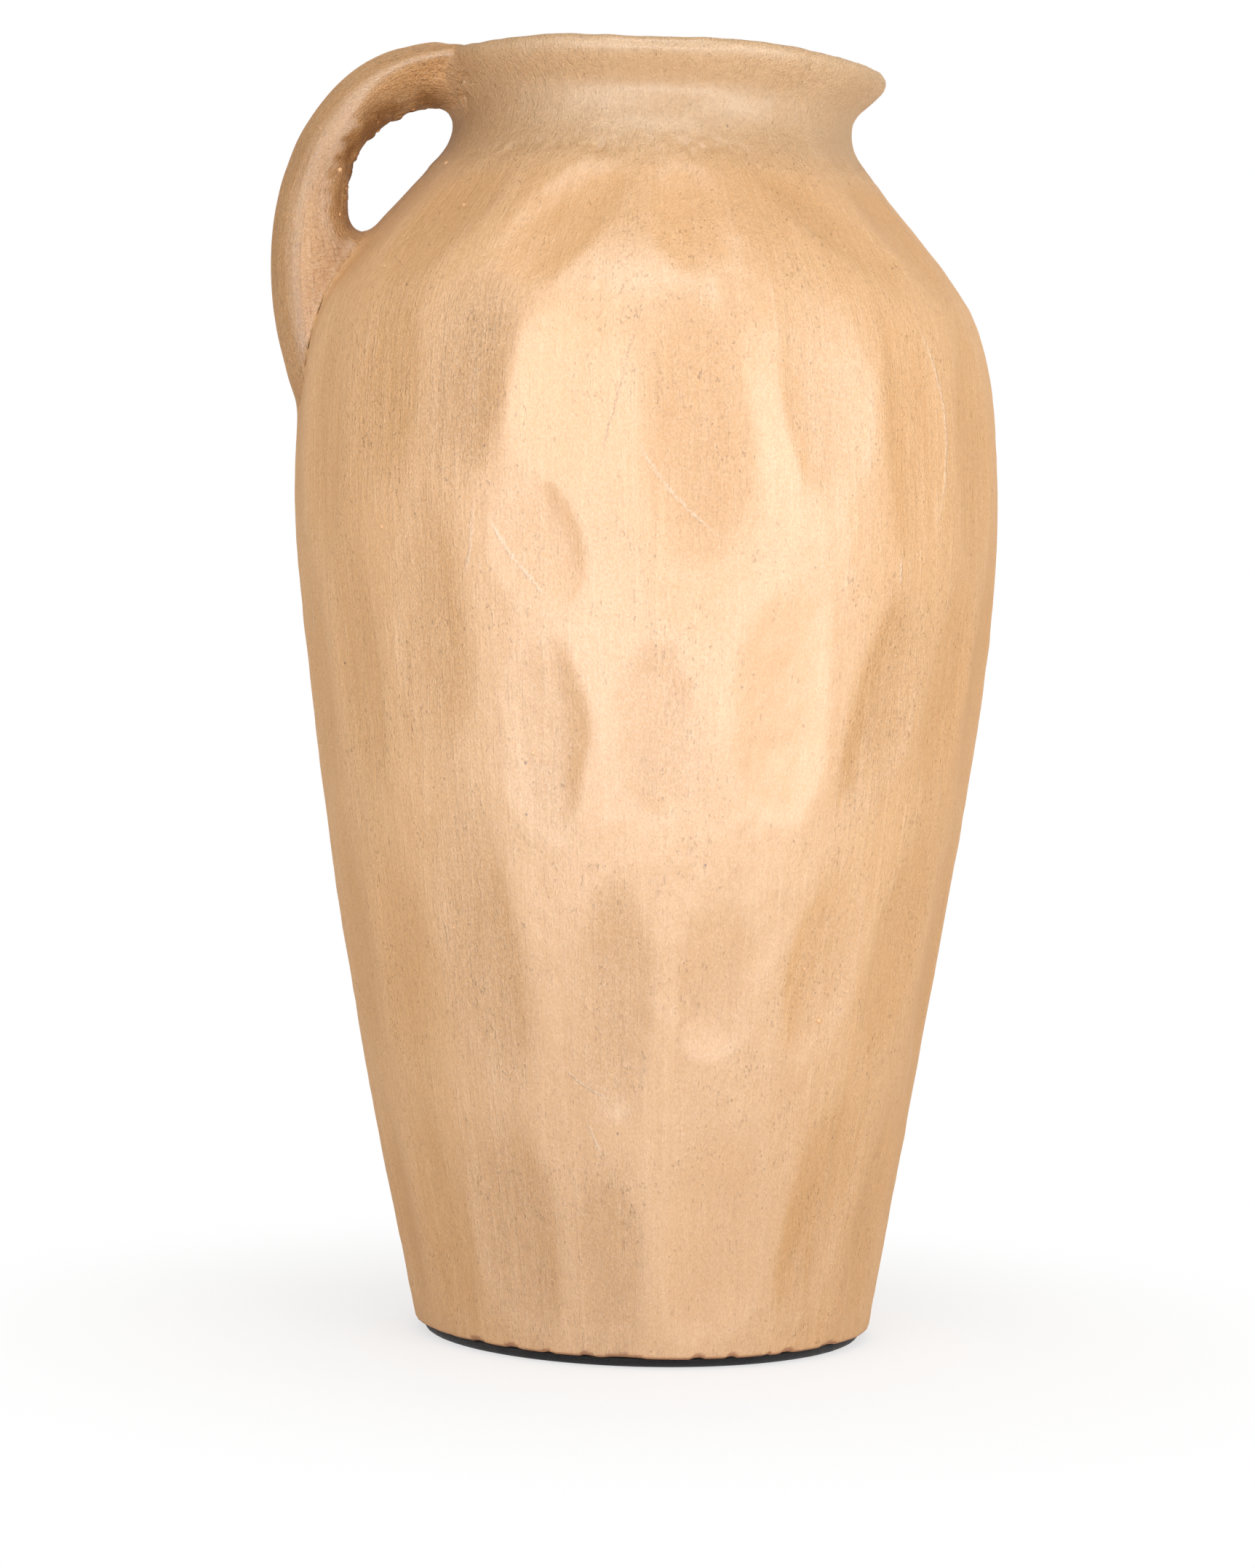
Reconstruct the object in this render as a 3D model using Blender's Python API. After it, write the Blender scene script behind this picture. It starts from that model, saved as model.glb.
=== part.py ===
"""A tall hand-built clay jug vase with one loop handle, a scraped, faceted wall and a felt pad under it.

The vase is made as a potter makes it: a base slab, a lower and an upper wall section, a neck with its rim,
and a strap handle, joined on bevelled seams. Each clay piece is its own solid, and so is the pad.
The frame is in metres with +Z up. The origin is the centre of the pad's underside, -Y is the front and the
handle is on the -X side. Azimuths are in degrees from the front, positive towards +X.
"""

import math

import bmesh
import bpy
import numpy as np

# Pad and base
PAD_THICKNESS = 0.0025
PAD_INSET = 0.0040
PAD_EDGE = 0.0006
BASE_RADIUS = 0.0826
SLAB_THICKNESS = 0.0110
SLAB_EDGE = 0.0016
SEAT_GAP = 0.0003

# Wall: the two heights are above the surface that the pad stands on
WALL = 0.0080
TAPER_SLOPE = 0.200
WALL_SEAM_HEIGHT = 0.2150
SEAM_BEVEL = 0.0040
BELLY_RADIUS = 0.1273
BELLY_HEIGHT = 0.3020
SHOULDER_RISE = 0.1160

# Neck, from the waist down to its foot and up to the lip
WAIST_RADIUS = 0.0720
NECK_FOOT_SPREAD = 0.0073
NECK_FOOT_DROP = 0.0160
NECK_FOOT_ANGLE = 40.0
FLARE_SPREAD = 0.0080
FLARE_RISE = 0.0125
FLARE_ANGLE = 46.0
LIP_SPREAD = 0.0035
LIP_RISE = 0.0055
LIP_ROUND = 0.0038
RIM_TILT = 0.7

NECK_FOOT_RADIUS = WAIST_RADIUS + NECK_FOOT_SPREAD
NECK_FOOT_HEIGHT = BELLY_HEIGHT + SHOULDER_RISE
WAIST_HEIGHT = NECK_FOOT_HEIGHT + NECK_FOOT_DROP
FLARE_RADIUS = WAIST_RADIUS + FLARE_SPREAD
FLARE_HEIGHT = WAIST_HEIGHT + FLARE_RISE
LIP_RADIUS = FLARE_RADIUS + LIP_SPREAD
LIP_HEIGHT = FLARE_HEIGHT + LIP_RISE
RIM_HEIGHT = LIP_HEIGHT + LIP_ROUND

# How far each curve of the profile holds its end directions, as shares of its rise
TAPER_PULL = 0.37
BELLY_LOW_PULL = 0.20
BELLY_HIGH_PULL = 0.63
NECK_FOOT_PULL = 0.47
HOLLOW_PULL = 0.45
THROAT_PULL = 0.50
FLARE_PULL = 0.40
ROUND_PULL = 0.55

# The hand-built axis drifts towards the handle on its way up: height, sideways place
AXIS_DRIFT = ((0.0, 0.0), (0.110, -0.0028), (0.250, -0.0043), (0.385, -0.0076), (0.457, -0.0062))

# Scraped facets: share of the height up to the neck's foot, half length as such a share, azimuths on
# the front. Each row goes on round the back at its own mean pitch.
FACET_ROWS = (
    (0.125, 0.115, (-68, -49, -27, -8, 13, 36, 55)),
    (0.345, 0.130, (-73, -53, -31, -17, -4, 13, 33, 54, 73)),
    (0.565, 0.140, (-67, -51, -35, -16, -2, 8, 21, 38, 55, 72)),
    (0.785, 0.110, (-73, -57, -42, -27, -14, -3, 10, 27, 46, 66)),
    (0.935, 0.070, (-67, -43, -15, 10, 32, 60)),
)
FACET_DEPTH = 0.0023
FACET_OVERLAP = 1.25
FACET_LOW_END = 0.75
FACET_SHIFT = 0.03
FACET_WANDER = 0.22
FACET_LENGTH_SPREAD = 0.15
FACET_SEED = 7
FACET_FADE = 0.012
FACET_FOOT_DEPTH = 0.35

# Handle: a strap that hangs from its outer edge, which is one smooth curve from the rim down to the foot
HANDLE_TOP_AZIMUTH = -77.0
HANDLE_FOOT_AZIMUTH = -88.0
HANDLE_BURIAL = 0.0120
HANDLE_TOP_RISE = 0.0025
HANDLE_TOP_REACH = 0.0483
HANDLE_TOP_LIFT = 0.0152
HANDLE_FOOT_RISE = 0.0230
HANDLE_FOOT_BURIAL = 0.0035
HANDLE_FOOT_REACH = 0.0228
HANDLE_FOOT_LIFT = 0.0658
HANDLE_CROWN = 0.0108
HANDLE_SQUARENESS = 2.3
# Share of the way down the outer edge, the strap's depth there and its width there
STRAP = (
    (0.00, 0.0220, 0.0640),
    (0.12, 0.0218, 0.0580),
    (0.30, 0.0214, 0.0410),
    (0.42, 0.0210, 0.0360),
    (0.56, 0.0242, 0.0350),
    (0.64, 0.0292, 0.0374),
    (0.71, 0.0420, 0.0405),
    (0.80, 0.0420, 0.0460),
    (1.00, 0.0420, 0.0500),
)

# Mesh density
SEGMENTS = 84
OUTER_STEP = 0.0125
INNER_STEP = 0.0360
NECK_STEP = 0.0042
NECK_INNER_STEP = 0.0075
CURVE_STEPS = 60
SLOPE_STEP = 0.002
HANDLE_RINGS = 26
HANDLE_SIDES = 20
SHARP_ANGLE = 35.0

OUTWARD, UPRIGHT = np.array((1.0, 0.0)), np.array((0.0, 1.0))

CLAY = (0.80, 0.52, 0.30)
FELT = (0.012, 0.012, 0.014)


def clear_scene():
    for obj in list(bpy.data.objects):
        bpy.data.objects.remove(obj)


def material(name, colour, roughness):
    made = bpy.data.materials.new(name)
    made.use_nodes = True
    shader = made.node_tree.nodes["Principled BSDF"]
    shader.inputs["Base Color"].default_value = (*colour, 1.0)
    shader.inputs["Roughness"].default_value = roughness
    shader.inputs["Metallic"].default_value = 0.0
    made.diffuse_color = (*colour, 1.0)
    return made


def smooth_through(points, at):
    """A smooth curve through (place, value) points, with Catmull-Rom slopes, read at the places given."""
    places, values = np.array(points, float).T
    slopes = np.gradient(values, places)
    at = np.clip(at, places[0], places[-1])
    k = np.clip(np.searchsorted(places, at, side="right") - 1, 0, len(places) - 2)
    span = places[k + 1] - places[k]
    t = (at - places[k]) / span
    ease = t * t * (3 - 2 * t)
    return (
        values[k] * (1 - ease)
        + values[k + 1] * ease
        + slopes[k] * span * t * (1 - t) ** 2
        - slopes[k + 1] * span * t * t * (1 - t)
    )


def axis_drift(height):
    return smooth_through(AXIS_DRIFT, height)


def bezier(start, start_pull, end_pull, end, steps=CURVE_STEPS):
    t = np.linspace(0.0, 1.0, steps + 1)[:, None]
    weights = ((1 - t) ** 3, 3 * (1 - t) ** 2 * t, 3 * (1 - t) * t**2, t**3)
    return sum(w * np.array(p, float) for w, p in zip(weights, (start, start_pull, end_pull, end)))


def lean(angle):
    """The direction of a wall that leans out by this angle from upright, as (radius, height)."""
    return np.array((math.sin(math.radians(angle)), math.cos(math.radians(angle))))


def steps_between(start, end, step):
    return np.linspace(start, end, max(2, round((end - start) / step) + 1))


def outer_profile():
    """The wall's outer side from the ground line to the end of the flare, as (radius, height) points."""
    foot = np.array((BASE_RADIUS, PAD_THICKNESS + SEAT_GAP))
    belly = np.array((BELLY_RADIUS, BELLY_HEIGHT))
    neck_foot = np.array((NECK_FOOT_RADIUS, NECK_FOOT_HEIGHT))
    waist = np.array((WAIST_RADIUS, WAIST_HEIGHT))
    flare = np.array((FLARE_RADIUS, FLARE_HEIGHT))
    taper = np.array((TAPER_SLOPE, 1.0))
    inward, outward = lean(-NECK_FOOT_ANGLE), lean(FLARE_ANGLE)
    rise, shoulder = BELLY_HEIGHT - foot[1], SHOULDER_RISE
    hollow, throat = NECK_FOOT_DROP, FLARE_RISE
    spans = (
        bezier(foot, foot + TAPER_PULL * rise * taper, belly - BELLY_LOW_PULL * rise * UPRIGHT, belly),
        bezier(
            belly,
            belly + BELLY_HIGH_PULL * shoulder * UPRIGHT,
            neck_foot - NECK_FOOT_PULL * shoulder * inward,
            neck_foot,
        ),
        bezier(
            neck_foot,
            neck_foot + HOLLOW_PULL * hollow * inward,
            waist - HOLLOW_PULL * hollow * UPRIGHT,
            waist,
        ),
        bezier(
            waist,
            waist + THROAT_PULL * throat * UPRIGHT,
            flare - FLARE_PULL * throat * outward,
            flare,
        ),
    )
    return np.concatenate([spans[0]] + [span[1:] for span in spans[1:]])


OUTER = outer_profile()
ALONG = np.concatenate([[0.0], np.cumsum(np.hypot(*np.diff(OUTER, axis=0).T))])


def outer_at(along):
    """The outer side's (radius, height) at these lengths along it."""
    return np.stack([np.interp(along, ALONG, OUTER[:, 0]), np.interp(along, ALONG, OUTER[:, 1])], axis=-1)


def moved_in(along, inset):
    """The outer side moved in by this much, square to the wall. A negative inset moves it out."""
    run = outer_at(np.minimum(along + SLOPE_STEP, ALONG[-1])) - outer_at(np.maximum(along - SLOPE_STEP, 0.0))
    run /= np.linalg.norm(run, axis=-1, keepdims=True)
    return outer_at(along) + inset * np.stack([-run[:, 1], run[:, 0]], axis=-1)


def along_at_height(height):
    return float(np.interp(height, OUTER[:, 1], ALONG))


def outer_radius(height):
    return np.interp(height, OUTER[:, 1], OUTER[:, 0])


def facet_list():
    """Every facet as azimuth, height, half width in degrees and half length, the front ones by hand."""
    chance = np.random.default_rng(FACET_SEED)
    facets = []
    for share, half_length, front in FACET_ROWS:
        pitch = (front[-1] - front[0]) / (len(front) - 1)
        behind = 360.0 - (front[-1] - front[0])
        count = round(behind / pitch)
        back = [front[-1] + behind * k / count for k in range(1, count)]
        shifts = chance.uniform(-FACET_WANDER, FACET_WANDER, len(back)) * pitch
        azimuths = np.array(list(front) + list(back + shifts))
        gaps = np.diff(np.concatenate([azimuths, [azimuths[0] + 360.0]]))
        widths = FACET_OVERLAP * 0.25 * (gaps + np.roll(gaps, 1))
        heights = NECK_FOOT_HEIGHT * (share + FACET_SHIFT * chance.uniform(-1.0, 1.0, len(azimuths)))
        spread = 1.0 + FACET_LENGTH_SPREAD * chance.uniform(-1.0, 1.0, len(azimuths))
        lengths = NECK_FOOT_HEIGHT * half_length * spread
        facets.extend(zip(azimuths, heights, widths, lengths))
    return facets


FACETS = facet_list()


def relief(azimuth, height):
    """How far the scraper went in at each place: the deepest of the dishes, fading at the wall's ends."""
    depth = np.zeros(np.broadcast(azimuth, height).shape)
    for middle, level, half_width, half_length in FACETS:
        across = (np.mod(azimuth - middle + 180.0, 360.0) - 180.0) / half_width
        upward = (height - level) / half_length
        upward = np.where(upward < 0, upward / FACET_LOW_END, upward)
        depth = np.maximum(depth, FACET_DEPTH * (1.0 - across**2 - upward**4))
    low_end = np.clip((height - PAD_THICKNESS) / FACET_FADE, 0.0, 1.0)
    high_end = np.clip((NECK_FOOT_HEIGHT - height) / FACET_FADE, 0.0, 1.0)
    return depth * (FACET_FOOT_DEPTH + (1.0 - FACET_FOOT_DEPTH) * low_end) * high_end


def turned(profile, cut=None):
    """Rings of points for a profile turned about the drifting axis.

    Each ring of a faceted profile has a cut direction, and the relief moves its points that way.
    """
    profile = np.array(profile)
    azimuth = np.arange(SEGMENTS) * 360.0 / SEGMENTS
    points = np.repeat(profile[:, None, :], SEGMENTS, axis=1)
    if cut is not None:
        points += relief(azimuth[None, :], profile[:, 1:2])[:, :, None] * cut[:, None, :]
    radius, height = points[..., 0], points[..., 1]
    turn = np.radians(azimuth)[None, :]
    sideways = radius * np.sin(turn)
    neck_share = np.clip((height - NECK_FOOT_HEIGHT) / (RIM_HEIGHT - NECK_FOOT_HEIGHT), 0.0, 1.0)
    tilted = height - neck_share * math.tan(math.radians(RIM_TILT)) * sideways
    return np.stack([axis_drift(height) + sideways, -radius * np.cos(turn), tilted], axis=-1)


def loft(name, rings, closed, finish):
    """One solid through the rings: a closed path of rings makes a hollow ring, an open one gets flat ends."""
    mesh = bpy.data.meshes.new(name)
    work = bmesh.new()
    rows = [[work.verts.new(point) for point in ring] for ring in rings]
    count = len(rows[0])
    for lower, upper in zip(rows, rows[1:] + rows[:1] if closed else rows[1:]):
        for k in range(count):
            after = (k + 1) % count
            work.faces.new((lower[k], lower[after], upper[after]))
            work.faces.new((lower[k], upper[after], upper[k]))
    if not closed:
        work.faces.new(rows[0])
        work.faces.new(rows[-1])
    bmesh.ops.recalc_face_normals(work, faces=work.faces)
    work.to_mesh(mesh)
    work.free()
    obj = bpy.data.objects.new(name, mesh)
    bpy.context.scene.collection.objects.link(obj)
    mesh.materials.append(finish)
    mesh.shade_smooth()
    mesh.set_sharp_from_angle(angle=math.radians(SHARP_ANGLE))
    return obj


SLAB_TOP = PAD_THICKNESS + SEAT_GAP + SLAB_THICKNESS
WALL_SEAM = along_at_height(WALL_SEAM_HEIGHT)
NECK_FOOT = along_at_height(NECK_FOOT_HEIGHT)
LOWER_WALL = steps_between(along_at_height(SLAB_TOP + SEAT_GAP), WALL_SEAM, OUTER_STEP)
UPPER_WALL = steps_between(WALL_SEAM + SEAT_GAP, NECK_FOOT, OUTER_STEP)
NECK = steps_between(NECK_FOOT + SEAT_GAP, ALONG[-1], NECK_STEP)


def bevels(stations):
    """How far up the wall each station's inner end lies: level on the slab, slanted at the seams above."""
    level = -WALL * TAPER_SLOPE
    climb = np.clip((stations - LOWER_WALL[0]) / (LOWER_WALL[-1] - LOWER_WALL[0]), 0.0, 1.0)
    return level + (SEAM_BEVEL - level) * climb


def cuts(stations):
    """The direction in which the scraper cuts at each station, towards its inner end."""
    return (moved_in(stations + bevels(stations), WALL) - outer_at(stations)) / WALL


def wall_section(name, stations, finish):
    """A hollow section of the wall between two seams, through these stations along the outer side."""
    outside = turned(outer_at(stations), cuts(stations))
    low, high = stations[[0, -1]] + bevels(stations[[0, -1]])
    inside = turned(moved_in(steps_between(low, high, INNER_STEP), WALL))
    return loft(name, np.concatenate([outside, inside[::-1]]), True, finish)


def lip_nose(proud):
    """The lip's rounded outer edge from the flare over its tip to the crest, stood off by this much."""
    flare = moved_in(ALONG[-1:], -proud)[0]
    tip = np.array((LIP_RADIUS + proud, LIP_HEIGHT))
    crest = np.array((LIP_RADIUS - LIP_ROUND, RIM_HEIGHT + proud))
    pull = ROUND_PULL * LIP_ROUND
    under = bezier(flare, flare + pull * lean(FLARE_ANGLE), tip - pull * UPRIGHT, tip, 2)
    over = bezier(tip, tip + pull * UPRIGHT, crest + pull * OUTWARD, crest, 3)
    return np.concatenate([under[1:], over[1:]])


def neck_and_rim(finish):
    inside = moved_in(steps_between(NECK[0] + SEAM_BEVEL, ALONG[-1], NECK_INNER_STEP), WALL)
    nose = lip_nose(0.0)
    pull = ROUND_PULL * LIP_ROUND
    crest, mouth_edge = nose[-1], inside[-1]
    inner_lip = bezier(crest, crest - pull * OUTWARD, mouth_edge + pull * lean(FLARE_ANGLE), mouth_edge, 2)
    profile = np.concatenate([outer_at(NECK), nose, inner_lip[1:-1], inside[::-1]])
    return loft("neck_and_rim", turned(profile), True, finish)


def base_slab(finish):
    """The round slab that the wall stands on, with its lower edge rounded off."""
    bottom = PAD_THICKNESS + SEAT_GAP
    levels = np.array((bottom, bottom + SLAB_EDGE, bottom + SLAB_THICKNESS))
    profile = np.stack([outer_radius(levels) - (SLAB_EDGE, 0.0, 0.0), levels], axis=-1)
    return loft("base_slab", turned(profile, np.tile(-OUTWARD, (len(profile), 1))), False, finish)


def felt_pad(finish):
    radius = BASE_RADIUS - PAD_INSET
    profile = (
        (radius - PAD_EDGE, 0.0),
        (radius, PAD_EDGE),
        (radius, PAD_THICKNESS - PAD_EDGE),
        (radius - PAD_EDGE, PAD_THICKNESS),
    )
    return loft("felt_pad", turned(profile), False, finish)


def handle_rings():
    """The strap's rings along its outer edge, from inside the neck, out, down and back into the shoulder."""
    foot_height = BELLY_HEIGHT + HANDLE_FOOT_RISE
    foot_radius = outer_radius(foot_height)
    top = np.array((WAIST_RADIUS - HANDLE_BURIAL, RIM_HEIGHT + HANDLE_TOP_RISE))
    foot = np.array((foot_radius - HANDLE_FOOT_BURIAL, foot_height))
    top_pull = np.array((LIP_RADIUS + HANDLE_TOP_REACH, RIM_HEIGHT + HANDLE_TOP_LIFT))
    foot_pull = np.array((foot_radius + HANDLE_FOOT_REACH, foot_height + HANDLE_FOOT_LIFT))
    edge = bezier(top, top_pull, foot_pull, foot, HANDLE_RINGS)
    share = np.linspace(0.0, 1.0, len(edge))
    turn = np.radians(HANDLE_TOP_AZIMUTH + (HANDLE_FOOT_AZIMUTH - HANDLE_TOP_AZIMUTH) * share)
    sidewards = axis_drift(edge[:, 1]) + edge[:, 0] * np.sin(turn)
    outer_edge = np.stack([sidewards, -edge[:, 0] * np.cos(turn), edge[:, 1]], axis=-1)
    run = np.gradient(outer_edge, axis=0)
    run /= np.linalg.norm(run, axis=1, keepdims=True)
    sideways = np.stack([np.cos(turn), np.sin(turn), 0.0 * turn], axis=-1)
    outward = np.cross(run, sideways)
    outward /= np.linalg.norm(outward, axis=1, keepdims=True)
    places, depths, widths = np.array(STRAP).T
    half_width = 0.5 * smooth_through(np.stack([places, widths], axis=-1), share)[:, None, None]
    under = smooth_through(np.stack([places, depths], axis=-1), share)[:, None] - HANDLE_CROWN
    centre = outer_edge - HANDLE_CROWN * outward
    angle = np.arange(HANDLE_SIDES) * 2 * math.pi / HANDLE_SIDES
    across = np.sign(np.cos(angle)) * np.abs(np.cos(angle)) ** (2.0 / HANDLE_SQUARENESS)
    up = np.sign(np.sin(angle)) * np.abs(np.sin(angle)) ** (2.0 / HANDLE_SQUARENESS)
    rise = np.where(up > 0, HANDLE_CROWN * up[None, :], under * up[None, :])
    return (
        centre[:, None, :]
        + half_width * across[None, :, None] * sideways[:, None, :]
        + rise[:, :, None] * outward[:, None, :]
    )


def handle_cutter():
    """The vase's whole outer form, a seat gap larger, which trims the handle's ends to their seats."""
    walls = np.concatenate([LOWER_WALL, UPPER_WALL])
    faceted = turned(moved_in(walls, -SEAT_GAP), cuts(walls))
    nose = lip_nose(SEAT_GAP)
    above = nose[-1] + (HANDLE_TOP_LIFT + HANDLE_CROWN) * UPRIGHT
    plain = turned(np.concatenate([moved_in(NECK, -SEAT_GAP), nose, [above]]))
    cutter = loft("handle_cutter", np.concatenate([faceted, plain]), False, None)
    cutter.hide_render = True
    cutter.display_type = "WIRE"
    return cutter


def handle(finish):
    made = loft("handle", handle_rings(), False, finish)
    trim = made.modifiers.new("trim_to_wall", "BOOLEAN")
    trim.operation = "DIFFERENCE"
    trim.solver = "EXACT"
    trim.object = handle_cutter()
    return made


def main():
    clear_scene()
    clay = material("painted_clay", CLAY, 0.55)
    felt = material("black_felt", FELT, 0.95)
    felt_pad(felt)
    base_slab(clay)
    wall_section("lower_wall", LOWER_WALL, clay)
    wall_section("upper_wall", UPPER_WALL, clay)
    neck_and_rim(clay)
    handle(clay)


main()
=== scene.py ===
# %% [markdown]
# # A hand-built clay jug vase
#
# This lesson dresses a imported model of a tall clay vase: a scraped, faceted body, a short flared neck and
# one strap handle, coated with a satin tan paint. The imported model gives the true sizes. Each of its plain
# solids is replaced here by a dense mesh that shows how the vase was made.
#
# The vase stands on the ground plane. Its handle is on the -X side and the front faces -Y. Azimuths are in
# degrees from the front, positive towards +X.

import itertools
import math

import bpy
import numpy as np
from mathutils import Matrix
from mathutils.bvhtree import BVHTree


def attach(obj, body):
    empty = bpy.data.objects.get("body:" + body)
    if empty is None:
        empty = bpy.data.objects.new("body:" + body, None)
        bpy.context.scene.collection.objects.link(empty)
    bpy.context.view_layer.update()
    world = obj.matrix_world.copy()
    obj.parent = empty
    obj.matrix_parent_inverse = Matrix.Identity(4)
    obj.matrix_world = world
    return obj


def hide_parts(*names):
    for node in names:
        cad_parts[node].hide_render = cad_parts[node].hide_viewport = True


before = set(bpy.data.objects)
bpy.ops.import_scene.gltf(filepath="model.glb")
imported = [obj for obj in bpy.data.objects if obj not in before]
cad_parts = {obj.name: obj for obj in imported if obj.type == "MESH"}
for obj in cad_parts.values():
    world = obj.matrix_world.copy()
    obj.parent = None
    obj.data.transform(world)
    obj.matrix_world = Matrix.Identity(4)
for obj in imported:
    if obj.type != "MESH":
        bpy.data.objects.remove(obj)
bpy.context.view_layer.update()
print("nodes:", ", ".join(sorted(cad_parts)))

# %% [markdown]
# ## Camera
#
# The picture was taken from about 1.4 m away, at the height of the belly, with the camera looking down a
# little and turned by a degree or so. A camera in Blender looks along its own -Z axis, so the matrix is
# filled with its right, up and backward directions. Blender's sensor width belongs to the picture's long
# side, so the lens follows from how many pixels a millimetre takes at the vase's axis.

# %% Camera
PICTURE_HEIGHT = 2156
PIXELS_PER_METRE = 3800.0
SENSOR_MM = 36.0
CAMERA_DISTANCE = 1.410
CAMERA_PLACE = (-0.003, -CAMERA_DISTANCE, 0.2505)
CAMERA_PITCH = math.radians(-2.147)
CAMERA_YAW = math.radians(0.28)
CAMERA_ROLL = math.radians(1.4)


def in_scene(name, data):
    """A new object with this data, linked to the scene."""
    made = bpy.data.objects.new(name, data)
    bpy.context.scene.collection.objects.link(made)
    return made


def look_matrix(place, pitch, yaw, roll):
    """The matrix of a camera that looks along +Y, tipped up by pitch, turned left by yaw and rolled."""
    ahead = np.array((-math.sin(yaw) * math.cos(pitch), math.cos(yaw) * math.cos(pitch), math.sin(pitch)))
    level = np.array((math.cos(yaw), math.sin(yaw), 0.0))
    upright = np.cross(level, ahead)
    right = math.cos(roll) * level + math.sin(roll) * upright
    up = math.cos(roll) * upright - math.sin(roll) * level
    columns = Matrix((right, up, -ahead)).transposed()
    return Matrix.Translation(place) @ columns.to_4x4()


camera_data = bpy.data.cameras.new("camera")
camera_data.sensor_width = SENSOR_MM
camera_data.lens = PIXELS_PER_METRE * CAMERA_DISTANCE / PICTURE_HEIGHT * SENSOR_MM
camera = in_scene("camera", camera_data)
camera.matrix_world = look_matrix(CAMERA_PLACE, CAMERA_PITCH, CAMERA_YAW, CAMERA_ROLL)
bpy.context.scene.camera = camera
print("lens:", round(camera_data.lens, 1), "mm")

# %% [markdown]
# ## Sizes of the vase
#
# A potter would describe this vase by a few measures: how wide the foot, belly, waist and lip are, and how
# high each of them is. The outline between them is made of four smooth curves. They are the same measures as
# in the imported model, so what is made here fits its box.

# %% Driving sizes, in metres
PAD_THICKNESS = 0.0025
PAD_INSET = 0.0040
SEAT_GAP = 0.0003
BASE_RADIUS = 0.0826
SLAB_THICKNESS = 0.0110
WALL = 0.0080
TAPER_SLOPE = 0.200
WALL_SEAM_HEIGHT = 0.2150
BELLY_RADIUS = 0.1273
BELLY_HEIGHT = 0.3020
NECK_FOOT_HEIGHT = BELLY_HEIGHT + 0.1160
WAIST_RADIUS = 0.0720
WAIST_HEIGHT = NECK_FOOT_HEIGHT + 0.0160
NECK_FOOT_RADIUS = WAIST_RADIUS + 0.0073
NECK_FOOT_ANGLE = 40.0
FLARE_RADIUS = WAIST_RADIUS + 0.0080
FLARE_HEIGHT = WAIST_HEIGHT + 0.0125
FLARE_ANGLE = 46.0
LIP_RADIUS = FLARE_RADIUS + 0.0035
LIP_HEIGHT = FLARE_HEIGHT + 0.0055
LIP_ROUND = 0.0038
RIM_HEIGHT = LIP_HEIGHT + LIP_ROUND
RIM_TILT = math.radians(0.7)
AXIS_DRIFT = ((0.0, 0.0), (0.110, -0.0028), (0.250, -0.0043), (0.385, -0.0076), (0.457, -0.0062))
OUTWARD, UPRIGHT = np.array((1.0, 0.0)), np.array((0.0, 1.0))
NO_LENGTH = 1e-12


def smooth_through(points, at):
    """A smooth curve through (place, value) points, read at the places given."""
    places, values = np.array(points, float).T
    slopes = np.gradient(values, places)
    at = np.clip(at, places[0], places[-1])
    k = np.clip(np.searchsorted(places, at, side="right") - 1, 0, len(places) - 2)
    span = places[k + 1] - places[k]
    t = (at - places[k]) / span
    ease = t * t * (3 - 2 * t)
    bend = slopes[k] * t * (1 - t) ** 2 - slopes[k + 1] * t * t * (1 - t)
    return values[k] * (1 - ease) + values[k + 1] * ease + span * bend


def curve(t, start, start_pull, end_pull, end):
    """Points of the cubic curve with these four control points."""
    t = np.asarray(t, float)[..., None]
    weights = ((1 - t) ** 3, 3 * (1 - t) ** 2 * t, 3 * (1 - t) * t**2, t**3)
    return sum(w * np.array(p, float) for w, p in zip(weights, (start, start_pull, end_pull, end)))


def lean(angle):
    """The direction of a wall that leans out by this angle from upright, as (radius, height)."""
    return np.array((math.sin(math.radians(angle)), math.cos(math.radians(angle))))


def smoothstep(low, high, value):
    """A soft step from 0 at the low limit to 1 at the high one."""
    t = np.clip((value - low) / (high - low), 0.0, 1.0)
    return t * t * (3 - 2 * t)


def unit(vectors):
    """The same directions, each with a length of 1."""
    return vectors / np.maximum(np.linalg.norm(vectors, axis=-1, keepdims=True), NO_LENGTH)


def steps_round(count):
    """Even steps once round, in radians."""
    return np.arange(count) * 2 * math.pi / count


def wrapped(angle):
    """The same angle, from half a turn to the left to half a turn to the right."""
    return np.mod(angle + math.pi, 2 * math.pi) - math.pi


# %% The outline of the wall, from its foot up over the lip to the mouth's inner edge
PROFILE_STEPS, LIP_STEPS = 200, 20
SLOPE_STEP = 0.0008


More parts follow.
